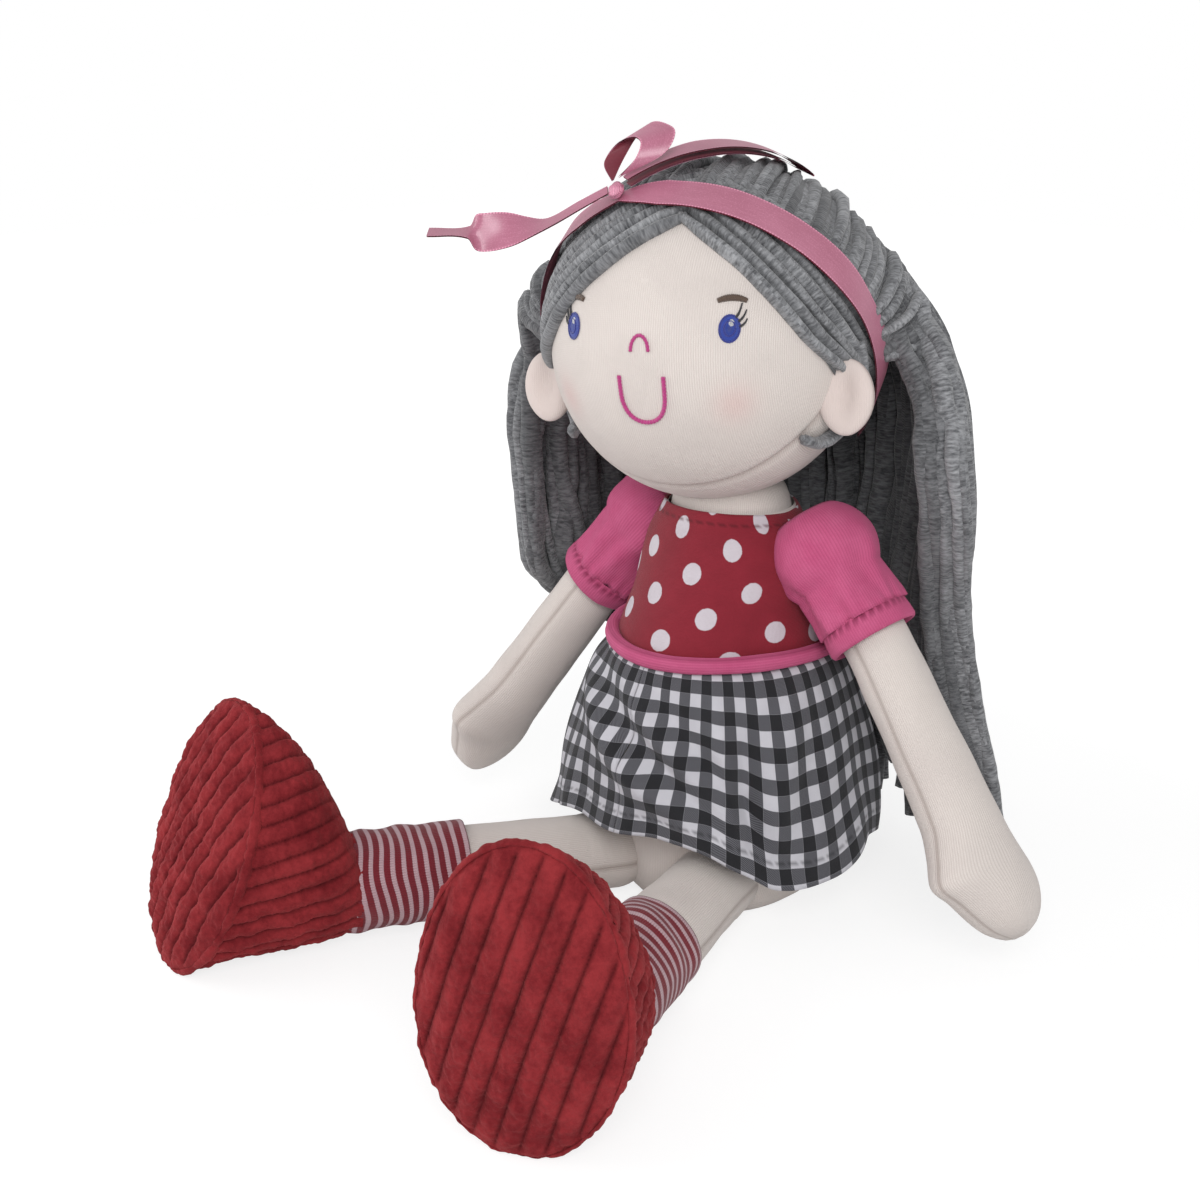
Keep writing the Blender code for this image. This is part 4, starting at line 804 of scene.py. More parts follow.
def make_stage():
    world = bpy.data.worlds.new("studio")
    bpy.context.scene.world = world
    world.use_nodes = True
    tree = world.node_tree
    background = tree.nodes["Background"]
    background.inputs["Color"].default_value = (1, 1, 1, 1)
    path = tree.nodes.new("ShaderNodeLightPath")
    share = tree.nodes.new("ShaderNodeMath")
    share.operation = "MULTIPLY_ADD"
    share.inputs[1].default_value = 0.44
    share.inputs[2].default_value = 0.56
    tree.links.new(path.outputs["Is Camera Ray"], share.inputs[0])
    tree.links.new(share.outputs[0], background.inputs["Strength"])
    add_area_light("key", (0.70, -0.75, 0.70), 0.6, 7.5)
    add_area_light("fill", (-0.75, -0.65, 0.40), 0.8, 4.5)
    floor = bpy.data.meshes.new("floor")
    reach = 3.0
    corners = [(-reach, -reach, 0), (reach, -reach, 0), (reach, reach, 0), (-reach, reach, 0)]
    floor.from_pydata(corners, [], [(0, 1, 2, 3)])
    made = bpy.data.objects.new("floor", floor)
    made.location.z = -0.0002
    bpy.context.scene.collection.objects.link(made)
    p = Paint("floor_white", 1.0, specular=0.0)
    p.finish((0.92, 0.92, 0.92, 1.0))
    material = p.material
    tree = p.tree
    glow = tree.nodes.new("ShaderNodeEmission")
    glow.inputs["Strength"].default_value = 1.12
    blend = tree.nodes.new("ShaderNodeMixShader")
    path = tree.nodes.new("ShaderNodeLightPath")
    length = tree.nodes.new("ShaderNodeVectorMath")
    length.operation = "LENGTH"
    tree.links.new(p.place(), length.inputs[0])
    far = p.smooth(length.outputs["Value"], 0.22, 0.42)
    share = p.math("MULTIPLY", path.outputs["Is Camera Ray"], p.math("MULTIPLY_ADD", far, 0.30, 0.70))
    tree.links.new(share, blend.inputs[0])
    tree.links.new(p.shader.outputs[0], blend.inputs[1])
    tree.links.new(glow.outputs[0], blend.inputs[2])
    tree.links.new(blend.outputs[0], tree.nodes["Material Output"].inputs[0])
    floor.materials.append(material)
    bpy.context.scene.view_settings.view_transform = "Standard"


def make_head_panel(name, lean, seam_polar, nodes):
    axis = lean.normalized()
    side = Vector((1, 0, 0))
    third = axis.cross(side).normalized()
    rings, sides = 60, 128
    blushes = (Vector((0.031, -0.048, -0.0195)), Vector((-0.037, -0.044, -0.0195)))
    rows = []
    local = []
    blush = []
    seam = []
    for i in range(1, rings + 1):
        polar = (seam_polar + 0.012) * i / rings
        from_seam = abs(seam_polar - polar) * HEAD_RADIUS
        radius = HEAD_RADIUS - SEAM_DEPTH * math.exp(-(from_seam / SEAM_HALF) ** 2)
        row = []
        flat = []
        for j in range(sides):
            angle = TAU * j / sides
            out = side * math.cos(angle) + third * math.sin(angle)
            point = (axis * math.cos(polar) + out * math.sin(polar)) * radius
            point *= 1 + 0.004 * wobble(point, 40.0)
            row.append(HEAD @ point)
            flat.append(point)
        rows.append(row)
        local.append(flat)
        blush.append([0.30 * sum(math.exp(-((q - b).length / 0.0075) ** 2) for b in blushes) for q in flat])
        seam.append([math.exp(-(from_seam / 0.0008) ** 2)] * sides)

    def cloth(r, c):
        point = local[r][int(c) % sides] / HEAD_RADIUS
        return HEAD_RADIUS * math.asin(max(-1, min(1, point.x))), HEAD_RADIUS * math.asin(max(-1,
            min(1, point.z)))

    surface = Surface()
    pole = HEAD @ (axis * HEAD_RADIUS * (1 + 0.004 * wobble(axis * HEAD_RADIUS, 40.0)))
    surface.grid(rows, wrap=True, first=pole, cloth=cloth, blush=blush, seam=seam)
    made = place(surface.build(name, CREAM), "head", "cream_knit", *nodes)


def make_head():
    lean = Vector((0, -math.cos(HEAD_SEAM_LEAN), math.sin(HEAD_SEAM_LEAN)))
    seam_polar = math.acos(HEAD_SEAM_FORWARD / HEAD_RADIUS)
    make_head_panel("face_front", lean, seam_polar, ("face_panel", "head_stuffing"))
    make_head_panel("head_rear", -lean, math.pi - seam_polar, ("head_back_panel",))


def make_ears():
    for side, sign in SIDES:
        across = math.sqrt(HEAD_RADIUS ** 2 - EAR_DROP ** 2) + EAR_HALF[0] * EAR_OUT_SHARE
        centre = Vector((sign * across * math.cos(EAR_BEHIND_SIDE), across * math.sin(EAR_BEHIND_SIDE),
            -EAR_DROP))
        rings, sides = 22, 44
        rows = []
        seam = []
        cloth_rows = []
        for i in range(1, rings):
            polar = math.pi * i / rings
            row, flat, marks = [], [], []
            for j in range(sides):
                angle = TAU * j / sides
                x = math.sin(polar) * math.cos(angle)
                z = math.sin(polar) * math.sin(angle)
                y = math.cos(polar)
                thick = math.copysign(abs(y) ** 0.75, y)
                dent = EAR_DENT * math.exp(
                    -((x * sign + 0.05) ** 2 * 5 + (z - 0.1) ** 2 * 2.6)
                ) * (1 if y > 0 else 0)
                narrow = 1 - 0.10 * (z < 0) * z * z
                point = Vector((x * EAR_HALF[0] * narrow, -thick * EAR_HALF[1] + dent, z * EAR_HALF[2]))
                row.append(HEAD @ (centre + point))
                flat.append((point.x, point.z))
                marks.append(0.8 * math.exp(-(y / 0.10) ** 2))
            rows.append(row)
            cloth_rows.append(flat)
            seam.append(marks)
        surface = Surface()
        first = HEAD @ (centre + Vector((0, -EAR_HALF[1] + EAR_DENT * 0.8, 0)))
        last = HEAD @ (centre + Vector((0, EAR_HALF[1], 0)))
        surface.grid(rows, wrap=True, first=first, last=last, cloth=lambda r,
            c: cloth_rows[r][int(c) % sides], seam=seam)
        made = place(surface.build("ear_soft_" + side, EAR), "head", "cream_knit", "ear_" + side)


def face_point(sideways, height, lift):
    radius = HEAD_RADIUS + lift
    forward = math.sqrt(HEAD_RADIUS ** 2 - sideways ** 2 - height ** 2)
    return HEAD @ (Vector((sideways, -forward, height)) * (radius / HEAD_RADIUS))


def stitch_path(name, points, radius, material, slot, node, pitch=0.0012):
    """A line of close stitches: a thread that swells and narrows at each stitch."""
    length = sum((b - a).length for a, b in zip(points, points[1:]))
    count = max(16, int(length / (pitch / 6)))
    path = curve_through(points, count)
    radii = [radius * (0.80 + 0.25 * abs(math.sin(math.pi * i / 6))) for i in range(count)]
    surface = Surface()
    add_tube(surface, path, radii, 8, HEAD.to_3x3() @ Vector((0, -1, 0)))
    return place(surface.build(name, material), "head", slot, node)


def make_eye(side, sign):
    azimuth = sign * EYE_AZIMUTH
    sideways = math.sin(azimuth) * HEAD_RADIUS

    def spot(x, z, lift):
        return face_point(sideways + x * math.cos(azimuth), EYE_HEIGHT + z, lift)

    def disc(name, width, height, low, dome, material, slot, x=0.0, z=0.0, node=None):
        rings, sides = 12, 48
        rows = []
        for i in range(rings, 0, -1):
            share = i / rings
            lift = low + dome * math.sqrt(max(0.0, 1 - share ** 2))
            ripple = 0.00006 * math.cos(TAU * share * rings / 3)
            rows.append([
                spot(x + width * share * math.cos(TAU * j / sides),
                    z + height * share * math.sin(TAU * j / sides), lift + ripple)
                for j in range(sides)
            ])
        surface = Surface()
        surface.grid(rows, wrap=True, last=spot(x, z, low + dome), cloth=lambda r,
            c: (0.0004 * c, 0.0005 * r))
        made = place(surface.build(name, material), "head", slot)
        if node:
            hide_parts(node)

    disc("iris_" + side, EYE_HALF_WIDTH, EYE_HALF_HEIGHT, 0.0001, EYE_DOME, BLUE_THREAD, "blue_thread",
        node="eye_" + side)
    disc("glint_" + side, 0.0010, 0.0013, EYE_DOME - 0.0001, 0.0004, WHITE_THREAD, "blue_thread", 0.0005,
        0.0018)
    outline = [spot(1.02 * EYE_HALF_WIDTH * math.cos(TAU * j / 24),
        1.02 * EYE_HALF_HEIGHT * math.sin(TAU * j / 24), 0.0003) for j in range(25)]
    inner = [spot(0.55 * EYE_HALF_WIDTH * math.cos(TAU * j / 24),
        0.55 * EYE_HALF_HEIGHT * math.sin(TAU * j / 24), EYE_DOME) for j in range(25)]
    surface = Surface()
    for ring in (outline, inner):
        add_tube(surface, curve_through(ring, 90),
            [0.00032 * (0.8 + 0.3 * abs(math.sin(i))) for i in range(90)], 6,
                HEAD.to_3x3() @ Vector((0, -1, 0)))
    place(surface.build("iris_ring_" + side, thread_material("dark_blue_thread_" + side,
        srgb(26, 40, 134))), "head", "blue_thread")
    surface = Surface()
    for angle, length, bend in ((56, 0.0044, 0.15), (32, 0.0042, 0.2), (8, 0.0036, 0.3)):
        a = math.radians(angle)
        root = (sign * EYE_HALF_WIDTH * 0.98 * math.cos(a), EYE_HALF_HEIGHT * 0.98 * math.sin(a))
        points = []
        for k in range(4):
            share = k / 3
            points.append(spot(
                root[0] + sign * length * share * math.cos(a) * (1 - 0.35 * share),
                root[1] + length * share * (math.sin(a) * 0.75 + bend + 0.35 * share),
                0.0004,
            ))
        add_tube(surface, curve_through(points, 14), [0.00052 * (1 - 0.5 * i / 13) for i in range(14)], 6,
            HEAD.to_3x3() @ Vector((0, -1, 0)))
    place(surface.build("lashes_" + side, BLACK_THREAD), "head", "brown_thread")


def make_face():
    for side, sign in SIDES:
        make_eye(side, sign)
        sideways = sign * math.sin(EYE_AZIMUTH) * HEAD_RADIUS
        surface = Surface()
        count = 40
        path = []
        radii = []
        for i in range(count):
            share = 2 * i / (count - 1) - 1
            lift = 0.0002
            path.append(face_point(sideways + BROW_HALF_LENGTH * share,
                BROW_HEIGHT + BROW_RISE * (1 - share ** 2), lift))
            radii.append(0.0012 * (1 - 0.30 * share ** 2) * (0.80 + 0.35 * abs(math.sin(1.3 * i))))
        add_tube(surface, path, radii, 8, HEAD.to_3x3() @ Vector((0, -1, 0)))
        place(surface.build("brow_thread_" + side, BROWN_THREAD), "head", "brown_thread", "brow_" + side)
    nose = []
    mouth = []
    for i in range(17):
        angle = math.pi * i / 16
        nose.append(face_point(NOSE_HALF_WIDTH * math.cos(angle), NOSE_HEIGHT + NOSE_RISE * math.sin(angle),
            0.0002))
        drop = MOUTH_DEPTH * math.sqrt(math.sin(angle)) if 0 < i < 16 else 0.0
        mouth.append(face_point(MOUTH_HALF_WIDTH * math.cos(angle), MOUTH_HEIGHT - drop, 0.0002))
    stitch_path("nose_thread", nose, THREAD_RADIUS * 1.15, MAGENTA_THREAD, "magenta_thread", "nose_stitch")
    stitch_path("mouth_thread", mouth, THREAD_RADIUS * 1.4, MAGENTA_THREAD, "magenta_thread", "mouth_stitch")


def strand_section(seed, sides=STRAND_SIDES, wide=1.16, thick=0.84):
    """The flattened round of a rolled jersey strip, with a groove where its edges meet."""
    shares = []
    for k in range(sides):
        angle = TAU * k / sides
        oval = math.hypot(wide * math.cos(angle), thick * math.sin(angle))
        groove = sum(math.exp(-((angle - at) / 0.42) ** 2) for at in (1.15, 1.15 - TAU, 1.15 + TAU))
        shares.append(oval - 0.34 * groove + 0.05 * math.sin(2 * angle + seed))
    return shares


def parting_point(normal, offset, radius, sign):
    """Where a hairline plane's circle crosses the parting, and the circle's own square directions."""
    ring = math.sqrt(radius ** 2 - offset ** 2)
    across = normal.cross(Vector((0, 0, 1))).normalized()
    down = normal.cross(across).normalized()
    parting = Vector((math.cos(PARTING_TURN), math.sin(PARTING_TURN), 0))
    best = None
    for i in range(1440):
        angle = TAU * i / 1440
        spot = normal * offset + (across * math.cos(angle) + down * math.sin(angle)) * ring
        if spot.z > 0 and spot.y < 0.03 and (best is None or abs(spot.dot(parting)) < best[0]):
            best = (abs(spot.dot(parting)), angle)
    angle = best[1]
    ahead = normal * offset + (across * math.cos(angle + 0.05) + down * math.sin(angle + 0.05)) * ring
    return angle, 1 if ahead.dot(parting) * sign > 0 else -1, ring, across, down


def make_front_strips(rng):
    """The strips sewn down behind the hairline, from the parting over the temple to the ear."""
    for side, sign in SIDES:
        surface = Surface()
        normal, share = HAIRLINES[side]
        edge = share * HAIR_RADIUS
        for k in range(FRONT_STRIPS + 1):
            radius = HEAD_RADIUS + 0.0017
            offset = edge + FRONT_STRIP_WIDTH * (k + 0.42)
            start, step, ring, across, down = parting_point(normal, offset, radius, sign)
            seed = rng.random() * 9
            path = []
            radii = []
            for i in range(150):
                angle = start + step * (i / 149 * 2.7 - 0.03)
                spot = normal * offset + (across * math.cos(angle) + down * math.sin(angle)) * ring
                spot.y += (0.0085 - 0.0009 * k) * min(1.0, max(0.0, (0.004 - spot.z) / 0.014)) ** 1.5
                wave = 0.0006 * wobble((angle * 3, k * 2.0, sign), 1.0, seed)
                spot = spot.normalized() * (radius + 0.0004 * wobble((angle * 5, k, sign), 1.0,
                    seed)) + normal * wave
                if spot.z < -0.036 and spot.y > -0.02:
                    break
                path.append(HEAD @ spot)
                merge = min(1.0, 0.62 + i / 26)
                radii.append(0.00245 * merge * (1 + 0.07 * wobble(spot, 160.0, seed)))
            hint = (path[0] - HEAD_CENTRE).normalized()
            section = strand_section(seed, wide=1.04, thick=0.82)
            add_tube(
                surface, path, radii, STRAND_SIDES, hint, section, 0.004 * (-1) ** k,
                tint=rng.random(), start=rng.random(), follow=HEAD_CENTRE,
            )
        add_ear_strip(surface, sign, rng)
        add_cap(surface, normal, edge)
        place(surface.build("hair_front_" + side, HAIR), "head", "hair_jersey", "hair_cap_" + side)


def add_cap(surface, normal, edge):
    """The backing that the strips are sewn to, which fills the chinks between them."""
    radius = HEAD_RADIUS + 0.0009
    across = normal.cross(Vector((1, 0, 0))).normalized()
    down = normal.cross(across).normalized()
    start = math.acos((edge + 0.0022) / radius)
    rows = []
    for i in range(28):
        polar = start * (1 - i / 28)
        rows.append([
            HEAD @ (
                (normal * math.cos(polar) + (across * math.cos(a) + down * math.sin(a)) * math.sin(polar))
                * radius
            )
            for a in [TAU * j / 72 for j in range(72)]
        ])
    # The backing carries painted shade (0.7) for the chinks between the strips; its tint of 0.9 makes it
    # darker too.
    surface.grid(rows, wrap=True, last=HEAD @ (normal * radius), tint=0.9, deep=0.7, cloth=lambda r,
        c: (0.003 * c, 0.003 * r))


def add_ear_strip(surface, sign, rng):
    """The strip that comes down behind the ear and turns forward under it to the seam."""
    across = math.sqrt(HEAD_RADIUS ** 2 - EAR_DROP ** 2)
    ear = Vector((sign * across * math.cos(EAR_BEHIND_SIDE), across * math.sin(EAR_BEHIND_SIDE), -EAR_DROP))
    back = Vector((-sign * ear.y, sign * ear.x, 0)).normalized()
    upright = ear.cross(back).normalized()
    if upright.z < 0:
        upright = -upright
    spots = []
    for behind, rise, lift in EAR_STRIP_SPOTS:
        spot = (ear + back * behind + upright * rise).normalized() * (HEAD_RADIUS + 0.0020 + lift)
        spots.append(HEAD @ spot)
    path = curve_through(spots, 60)
    radii = [0.0026 * (1 + 0.08 * wobble(p, 200.0)) * (0.5 if i > 57 else 1.0) for i, p in enumerate(path)]
    hint = (path[0] - HEAD_CENTRE).normalized()
    add_tube(surface, path, radii, STRAND_SIDES, hint, strand_section(2.0), 0.01, tint=0.35,
        follow=HEAD_CENTRE)


def lock_value(rows, height, column):
    return sample([(-row[0], *row[1:]) for row in rows], -height)[column]


def lock_front(height, sign):
    return math.radians(lock_value(LOCK_FRONTS, height, 0 if sign > 0 else 1))


def lock_radii(height, azimuth, sign):
    """Inner and outer radius of the hanging hair at a height and an azimuth from the back."""
    inner, back, left, right = sample([(-row[0], *row[1:]) for row in LOCK_RADII], -height)
    share = max(0.0, min(1.0, (azimuth - LOCK_BACK_TO_SIDE) / (lock_front(height, sign) - LOCK_BACK_TO_SIDE)))
    edge = left if sign > 0 else right
    return inner, back + (edge - back) * share


def shell_reach(direction, sign):
    """How far from the head's centre the outside of the hair lies in a direction."""
    low, high = HAIR_RADIUS, 0.112
    for _ in range(14):
        middle = (low + high) / 2
        spot = direction * middle
        azimuth = max(0.0, math.atan2(spot.x, spot.y) * sign)
        height = HEAD_CENTRE.z + spot.z
        if height > LOCK_RADII[0][0]:
            inside = middle < 0.0705
        else:
            inside = math.hypot(spot.x, spot.y) < lock_radii(height, azimuth, sign)[1]
        low, high = (middle, high) if inside else (low, middle)
    return low


def strand_path(sign, share, layer, size, rng):
    """From under the ribbon over the head, then down the curtain of hair to its cut end."""
    seed = rng.uniform(0, 90)
    depth = (layer + rng.uniform(0.25, 1.0)) * STRAND_SPACING * 0.92
    root = sign * math.radians(5 + 96 * share + rng.uniform(-2.5, 2.5))
    back = Vector((0, math.cos(BAND_LEAN), math.sin(BAND_LEAN)))
    out = Vector((0, -math.sin(BAND_LEAN), math.cos(BAND_LEAN))) * math.cos(root)
    out += Vector((1, 0, 0)) * math.sin(root)
    sweep = math.radians(20 + 46 * max(0.0, math.cos(root)) - 4 * layer + rng.uniform(-5, 5))
    steps = 4 + int(math.degrees(sweep) / 16)
    points = []
    turned = HEAD.to_3x3()
    for i in range(steps):
        part = i / (steps - 1)
        direction = turned @ (out * math.cos(math.radians(2) + sweep * part) + back * math.sin(sweep * part))
        direction.normalize()
        goal = max(shell_reach(direction, sign) - depth, HAIR_RADIUS - 0.002)
        rise = min(1.0, part * 1.1) ** 0.8
        lift = HAIR_RADIUS - 0.0056 + (goal - HAIR_RADIUS + 0.0056) * rise
        lift += 0.0014 * wobble((part * 3, seed, 1.0), 1.0) * part
        points.append(HEAD_CENTRE + direction * lift)
    first = points[-1] - HEAD_CENTRE
    start_radius = math.hypot(first.x, first.y)
    start_azimuth = math.atan2(first.x, first.y) * sign
    end_height = strand_end(sign, share, rng)
    top = points[-1].z
    height = top - 0.012
    heights = []
    while height > end_height + 0.012:
        heights.append(height)
        height -= 0.016
    heights.append(end_height)
    loose = 2.2 if layer == 0 and rng.random() < 0.22 else 1.0
    flick = rng.uniform(-0.004, 0.006) * loose
    lean = rng.uniform(-0.10, 0.10)
    for height in heights:
        front = lock_front(height, sign)
        fallen = (top - height) / 0.2
        drift = 0.10 * wobble((height * 11, seed, 0), 1.0) + 0.045 * wobble((height * 38, seed + 9, 0), 1.0)
        drift *= loose
        azimuth = min(share * front + drift + lean * fallen, front - 0.02 - size * 14)
        blend = min(1.0, (top - height) / 0.045)
        blend = blend * blend * (3 - 2 * blend)
        azimuth = start_azimuth + (azimuth - start_azimuth) * blend
        inner, outer = lock_radii(height, azimuth, sign)
        radius = outer - depth + 0.0032 * wobble((height * 13, seed + 5, 0), 1.0)
        radius = min(max(radius, inner + 0.0008 + size * 1.3), outer - STRAND_RADIUS * 0.85)
        near = min(1.0, (top - height) / 0.020)
        radius = start_radius + (radius - start_radius) * near
        radius += flick * max(0.0, 1 - (height - end_height) / 0.02) ** 2
        points.append(Vector((
            HEAD_CENTRE.x + radius * math.sin(azimuth * sign),
            HEAD_CENTRE.y + radius * math.cos(azimuth),
            height,
        )))
    return curve_through(points, STRAND_ROWS), seed


def strand_end(sign, share, rng):
    """Height of a strand's cut end: uneven, and shorter at the back."""
    if share > 0.72:
        return rng.uniform(0.0155, 0.036)
    return rng.uniform(0.0155, 0.050)


def make_hanging_hair(rng):
    pieces = {}
    for side, sign in SIDES:
        for layer in range(STRAND_LAYERS):
            outer = lock_radii(0.15, 0.9, sign)[1]
            arc = lock_front(0.17, sign) * (outer - (layer + 0.5) * STRAND_SPACING)
            count = int(arc / STRAND_SPACING * 1.12)
            for k in range(count):
                share = (k + 0.5 + rng.uniform(-0.45, 0.45)) / count
                size = STRAND_RADIUS * rng.uniform(0.78, 1.18) * (1.15 if layer == STRAND_LAYERS - 1 else 1.0)
                path, seed = strand_path(sign, share, layer, size, rng)
                radii = []
                for i, point in enumerate(path):
                    rooted = 0.72 + 0.28 * min(1.0, i / 9)
                    uneven = 1 + 0.20 * wobble(point, 62.0, seed) + 0.12 * wobble(point, 210.0, seed)
                    radii.append(size * rooted * uneven)
                flat = rng.uniform(0.0, 0.22)
                section = strand_section(seed, wide=1.08 + flat, thick=0.92 - flat)
                cut = min(range(8, len(path)), key=lambda i: abs(path[i].z - LOCK_SPLIT))
                azimuth = share * lock_front(0.15, sign)
                where = "back" if azimuth < LOCK_BACK_TO_SIDE else "side"
                tint = rng.random()
                twist = rng.uniform(-0.05, 0.05)
                spun = rng.uniform(0, TAU)
                hint = Matrix.Rotation(spun, 3, "Z") @ Vector((1, 0.2, 0.3)).normalized()
                # Painted shade: each inner layer of strands is painted darker than the one outside it.
                deep = 0.5 * layer
                add_split_strand(pieces, side, where, path, radii, section, hint, twist, tint, deep, cut)
    for (where, level, side), surface in pieces.items():
        made = surface.build("strands_" + where + "_" + level + "_" + side, HAIR)
        node = "hair_" + where + "_" + level + "_" + side
        if level == "upper":
            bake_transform(made)
        else:
            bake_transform(made)
        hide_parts(node)


def add_split_strand(pieces, side, where, path, radii, section, hint, twist, tint, deep, cut):
    """One strand as an upper and a lower tube that share the ring where they meet."""
    frames = frames_along(path, hint)
    rows = []
    marks = [0.0]
    for i, (point, (along, up, across)) in enumerate(zip(path, frames)):
        ring = []
        for k in range(STRAND_SIDES):
            angle = TAU * k / STRAND_SIDES + twist * i
            reach = radii[i] * section[k]
            ring.append(point + up * (reach * math.cos(angle)) + across * (reach * math.sin(angle)))
        rows.append(ring)
        if i + 1 < len(path):
            marks.append(marks[-1] + (path[i + 1] - point).length)
    wide = TAU * radii[-1]
    for level, part, shift in (("upper", rows[:cut + 1], 0), ("lower", rows[cut:], cut)):
        surface = pieces.setdefault((where, level, side), Surface())
        first = path[0] if level == "upper" else None
        last = path[-1] if level == "lower" else None
        surface.grid(
            part, wrap=True, first=first, last=last, tint=tint, deep=deep,
            cloth=lambda r, c, shift=shift: (wide * c / STRAND_SIDES, marks[r + shift] + tint * 3),
        )


def add_ribbon(surface, centres, widths, faces, thickness=RIBBON_THICKNESS, columns=8):
    """A ribbon: widths are half-width vectors, faces point out of its satin side."""
    travelled = [0.0]
    for a, b in zip(centres, centres[1:]):
        travelled.append(travelled[-1] + (b - a).length)
    for lift, slot in ((0.5, 0), (-0.5, 1)):
        rows = []
        for centre, half, face in zip(centres, widths, faces):
            row = [
                centre + half * (2 * c / columns - 1) + face * (thickness * lift)
                for c in range(columns + 1)
            ]
            rows.append(row[::-1] if slot else row)
        surface.grid(rows, slot=slot, cloth=lambda r, c: (RIBBON_WIDTH * (c / columns - 0.5), travelled[r]))


def band_point(angle, lift):
    up = Vector((0, -math.sin(BAND_LEAN), math.cos(BAND_LEAN)))
    return (up * math.cos(angle) + Vector((1, 0, 0)) * math.sin(angle)) * (HAIR_RADIUS + 0.0003 + lift)


def make_ribbon():
    count = 320
    back = HEAD.to_3x3() @ Vector((0, math.cos(BAND_LEAN), math.sin(BAND_LEAN)))
    centres = []
    widths = []
    faces = []
    for i in range(count):
        angle = BAND_HALF_ARC * (2 * i / (count - 1) - 1)
        away = abs(angle - BOW_ANGLE) * HAIR_RADIUS
        pinch = 0.34 + 0.66 * min(1.0, away / 0.017) ** 0.8
        buckle = 0.0006 * wobble((angle * 2.2, 3.0, 1.0), 1.0) + 0.0011 * (1 - min(1.0, away / 0.02))
        point = band_point(angle, 0.0004 + buckle)
        tilt = 0.10 * wobble((angle * 2.6, 8.0, 0.0), 1.0)
        centres.append(HEAD @ point)
        out = (HEAD.to_3x3() @ point).normalized()
        widths.append((back + out * tilt).normalized() * (RIBBON_WIDTH / 2 * pinch))
        faces.append(out)
    surface = Surface()
    add_ribbon(surface, centres, widths, faces)
    place(surface.build("satin_band", SATIN, SATIN_BACK, recalculate=False), "head", "satin_ribbon",
        "ribbon_band")


def make_bow():
    """A small knot on the band, with one loop standing, one lying back, and a twisting tail."""
    knot = HEAD @ band_point(BOW_ANGLE, 0.0044)
    outward = (knot - HEAD_CENTRE).normalized()
    along = (HEAD.to_3x3() @ Vector((1, 0, 0)))
    along = (along - outward * along.dot(outward)).normalized()
    level = outward.cross(along)
    rings = []
    for i in range(1, 14):
        polar = math.pi * i / 14
        rings.append([
            knot + along * (0.0026 * math.cos(polar))
            + (level * math.cos(a) * 0.0036 + outward * math.sin(a) * 0.0025)
            * (math.sin(polar) ** 0.7) * (1 + 0.07 * math.cos(6 * a + i * 0.2))
            for a in [TAU * j / 36 for j in range(36)]
        ])
    surface = Surface()
    surface.grid(
        rings, wrap=True, first=knot + along * 0.0026, last=knot - along * 0.0026,
        cloth=lambda r, c: (0.001 * c, 0.001 * r),
    )
    place(surface.build("satin_knot", SATIN), "head", "satin_ribbon", "bow_knot")
    make_front_loop(knot + outward * 0.0030)
    make_back_loop(knot, outward)
    make_tail(knot)


def finish_ribbon(name, node, centres, widths, middle=None):
    """Builds a ribbon whose satin side looks away from the middle of its loop."""
    count = len(centres)
    faces = []
    for i in range(count):
        along = centres[min(i + 1, count - 1)] - centres[max(i - 1, 0)]
        faces.append(along.cross(widths[i]).normalized())
    if middle and faces[count // 2].dot(centres[count // 2] - middle) < 0:
        faces = [-f for f in faces]
    surface = Surface()
    add_ribbon(surface, centres, widths, faces)
    place(surface.build(name, SATIN, SATIN_BACK, recalculate=False), "head", "satin_ribbon", node)


def make_front_loop(root):
    count = 110
    edges = []
    for table in (LOOP_NEAR, LOOP_FAR):
        spots = []
        for i in range(count):
            x, y, z = sample(table, i / (count - 1))
            spots.append(root + (BOW_RIGHT * x + BOW_UP * y + BOW_FORWARD * z) * BOW_LOOP_LENGTH)
        edges.append(spots)
    centres = [(a + b) / 2 for a, b in zip(*edges)]
    widths = [(b - a) / 2 for a, b in zip(*edges)]
    finish_ribbon("satin_loop_front", "bow_loop_front", centres, widths, sum(centres, Vector()) / count)


def make_back_loop(knot, up):
    axis = up.cross(BACK_LOOP_GOAL).normalized()
    start = math.radians(4)
    centres, widths = [], []
    count = 90
    for i in range(count):
        turn = math.pi * i / (count - 1)
        angle = start + (BACK_LOOP_ARC - start) * math.sin(turn)
        lift = HAIR_RADIUS + BACK_LOOP_REST + BACK_LOOP_LIFT * (1 - math.cos(turn)) / 2
        lift += 0.0008 * math.sin(3 * turn)
        centres.append(HEAD_CENTRE + Matrix.Rotation(angle, 3, axis) @ up * lift)
        pinch = 0.35 + 0.65 * min(1.0, math.sin(turn) * 2.5)
        widths.append(axis * (RIBBON_WIDTH / 2 * pinch))
    finish_ribbon("satin_loop_back", "bow_loop_back", centres, widths, sum(centres, Vector()) / count)


def make_tail(knot):
    upright = Vector((0, 0, 1))
    level = TAIL_DIRECTION.cross(upright)
    centres, widths = [], []
    count = 140
    for i in range(count):
        share = i / (count - 1)
        drop, wide, twist = sample(TAIL_ROWS, share)
        centres.append(
            knot + TAIL_DIRECTION * (0.003 + (TAIL_LENGTH + 0.0025) * share) - upright * (TAIL_DROP * drop)
        )
        angle = math.radians(twist)
        half = level * math.cos(angle) + upright * math.sin(angle)
        widths.append(half * (RIBBON_WIDTH / 2 * wide))
    finish_ribbon("satin_tail", "ribbon_tail", centres, [-half for half in widths])


def torso_row(height, spread, sides, wobbling=0.0):
    half, front, back = sample(TORSO_ROWS, height)
    row = []
    for j in range(sides):
        angle = TAU * j / sides
        reach = front if math.sin(angle) > 0 else back
        extra = spread + (wobbling * wobble((math.cos(angle), math.sin(angle), height * 20),
            2.0) if wobbling else 0.0)
        row.append(Vector(((half + extra) * math.cos(angle), -(reach + extra) * math.sin(angle), height)))
    return row


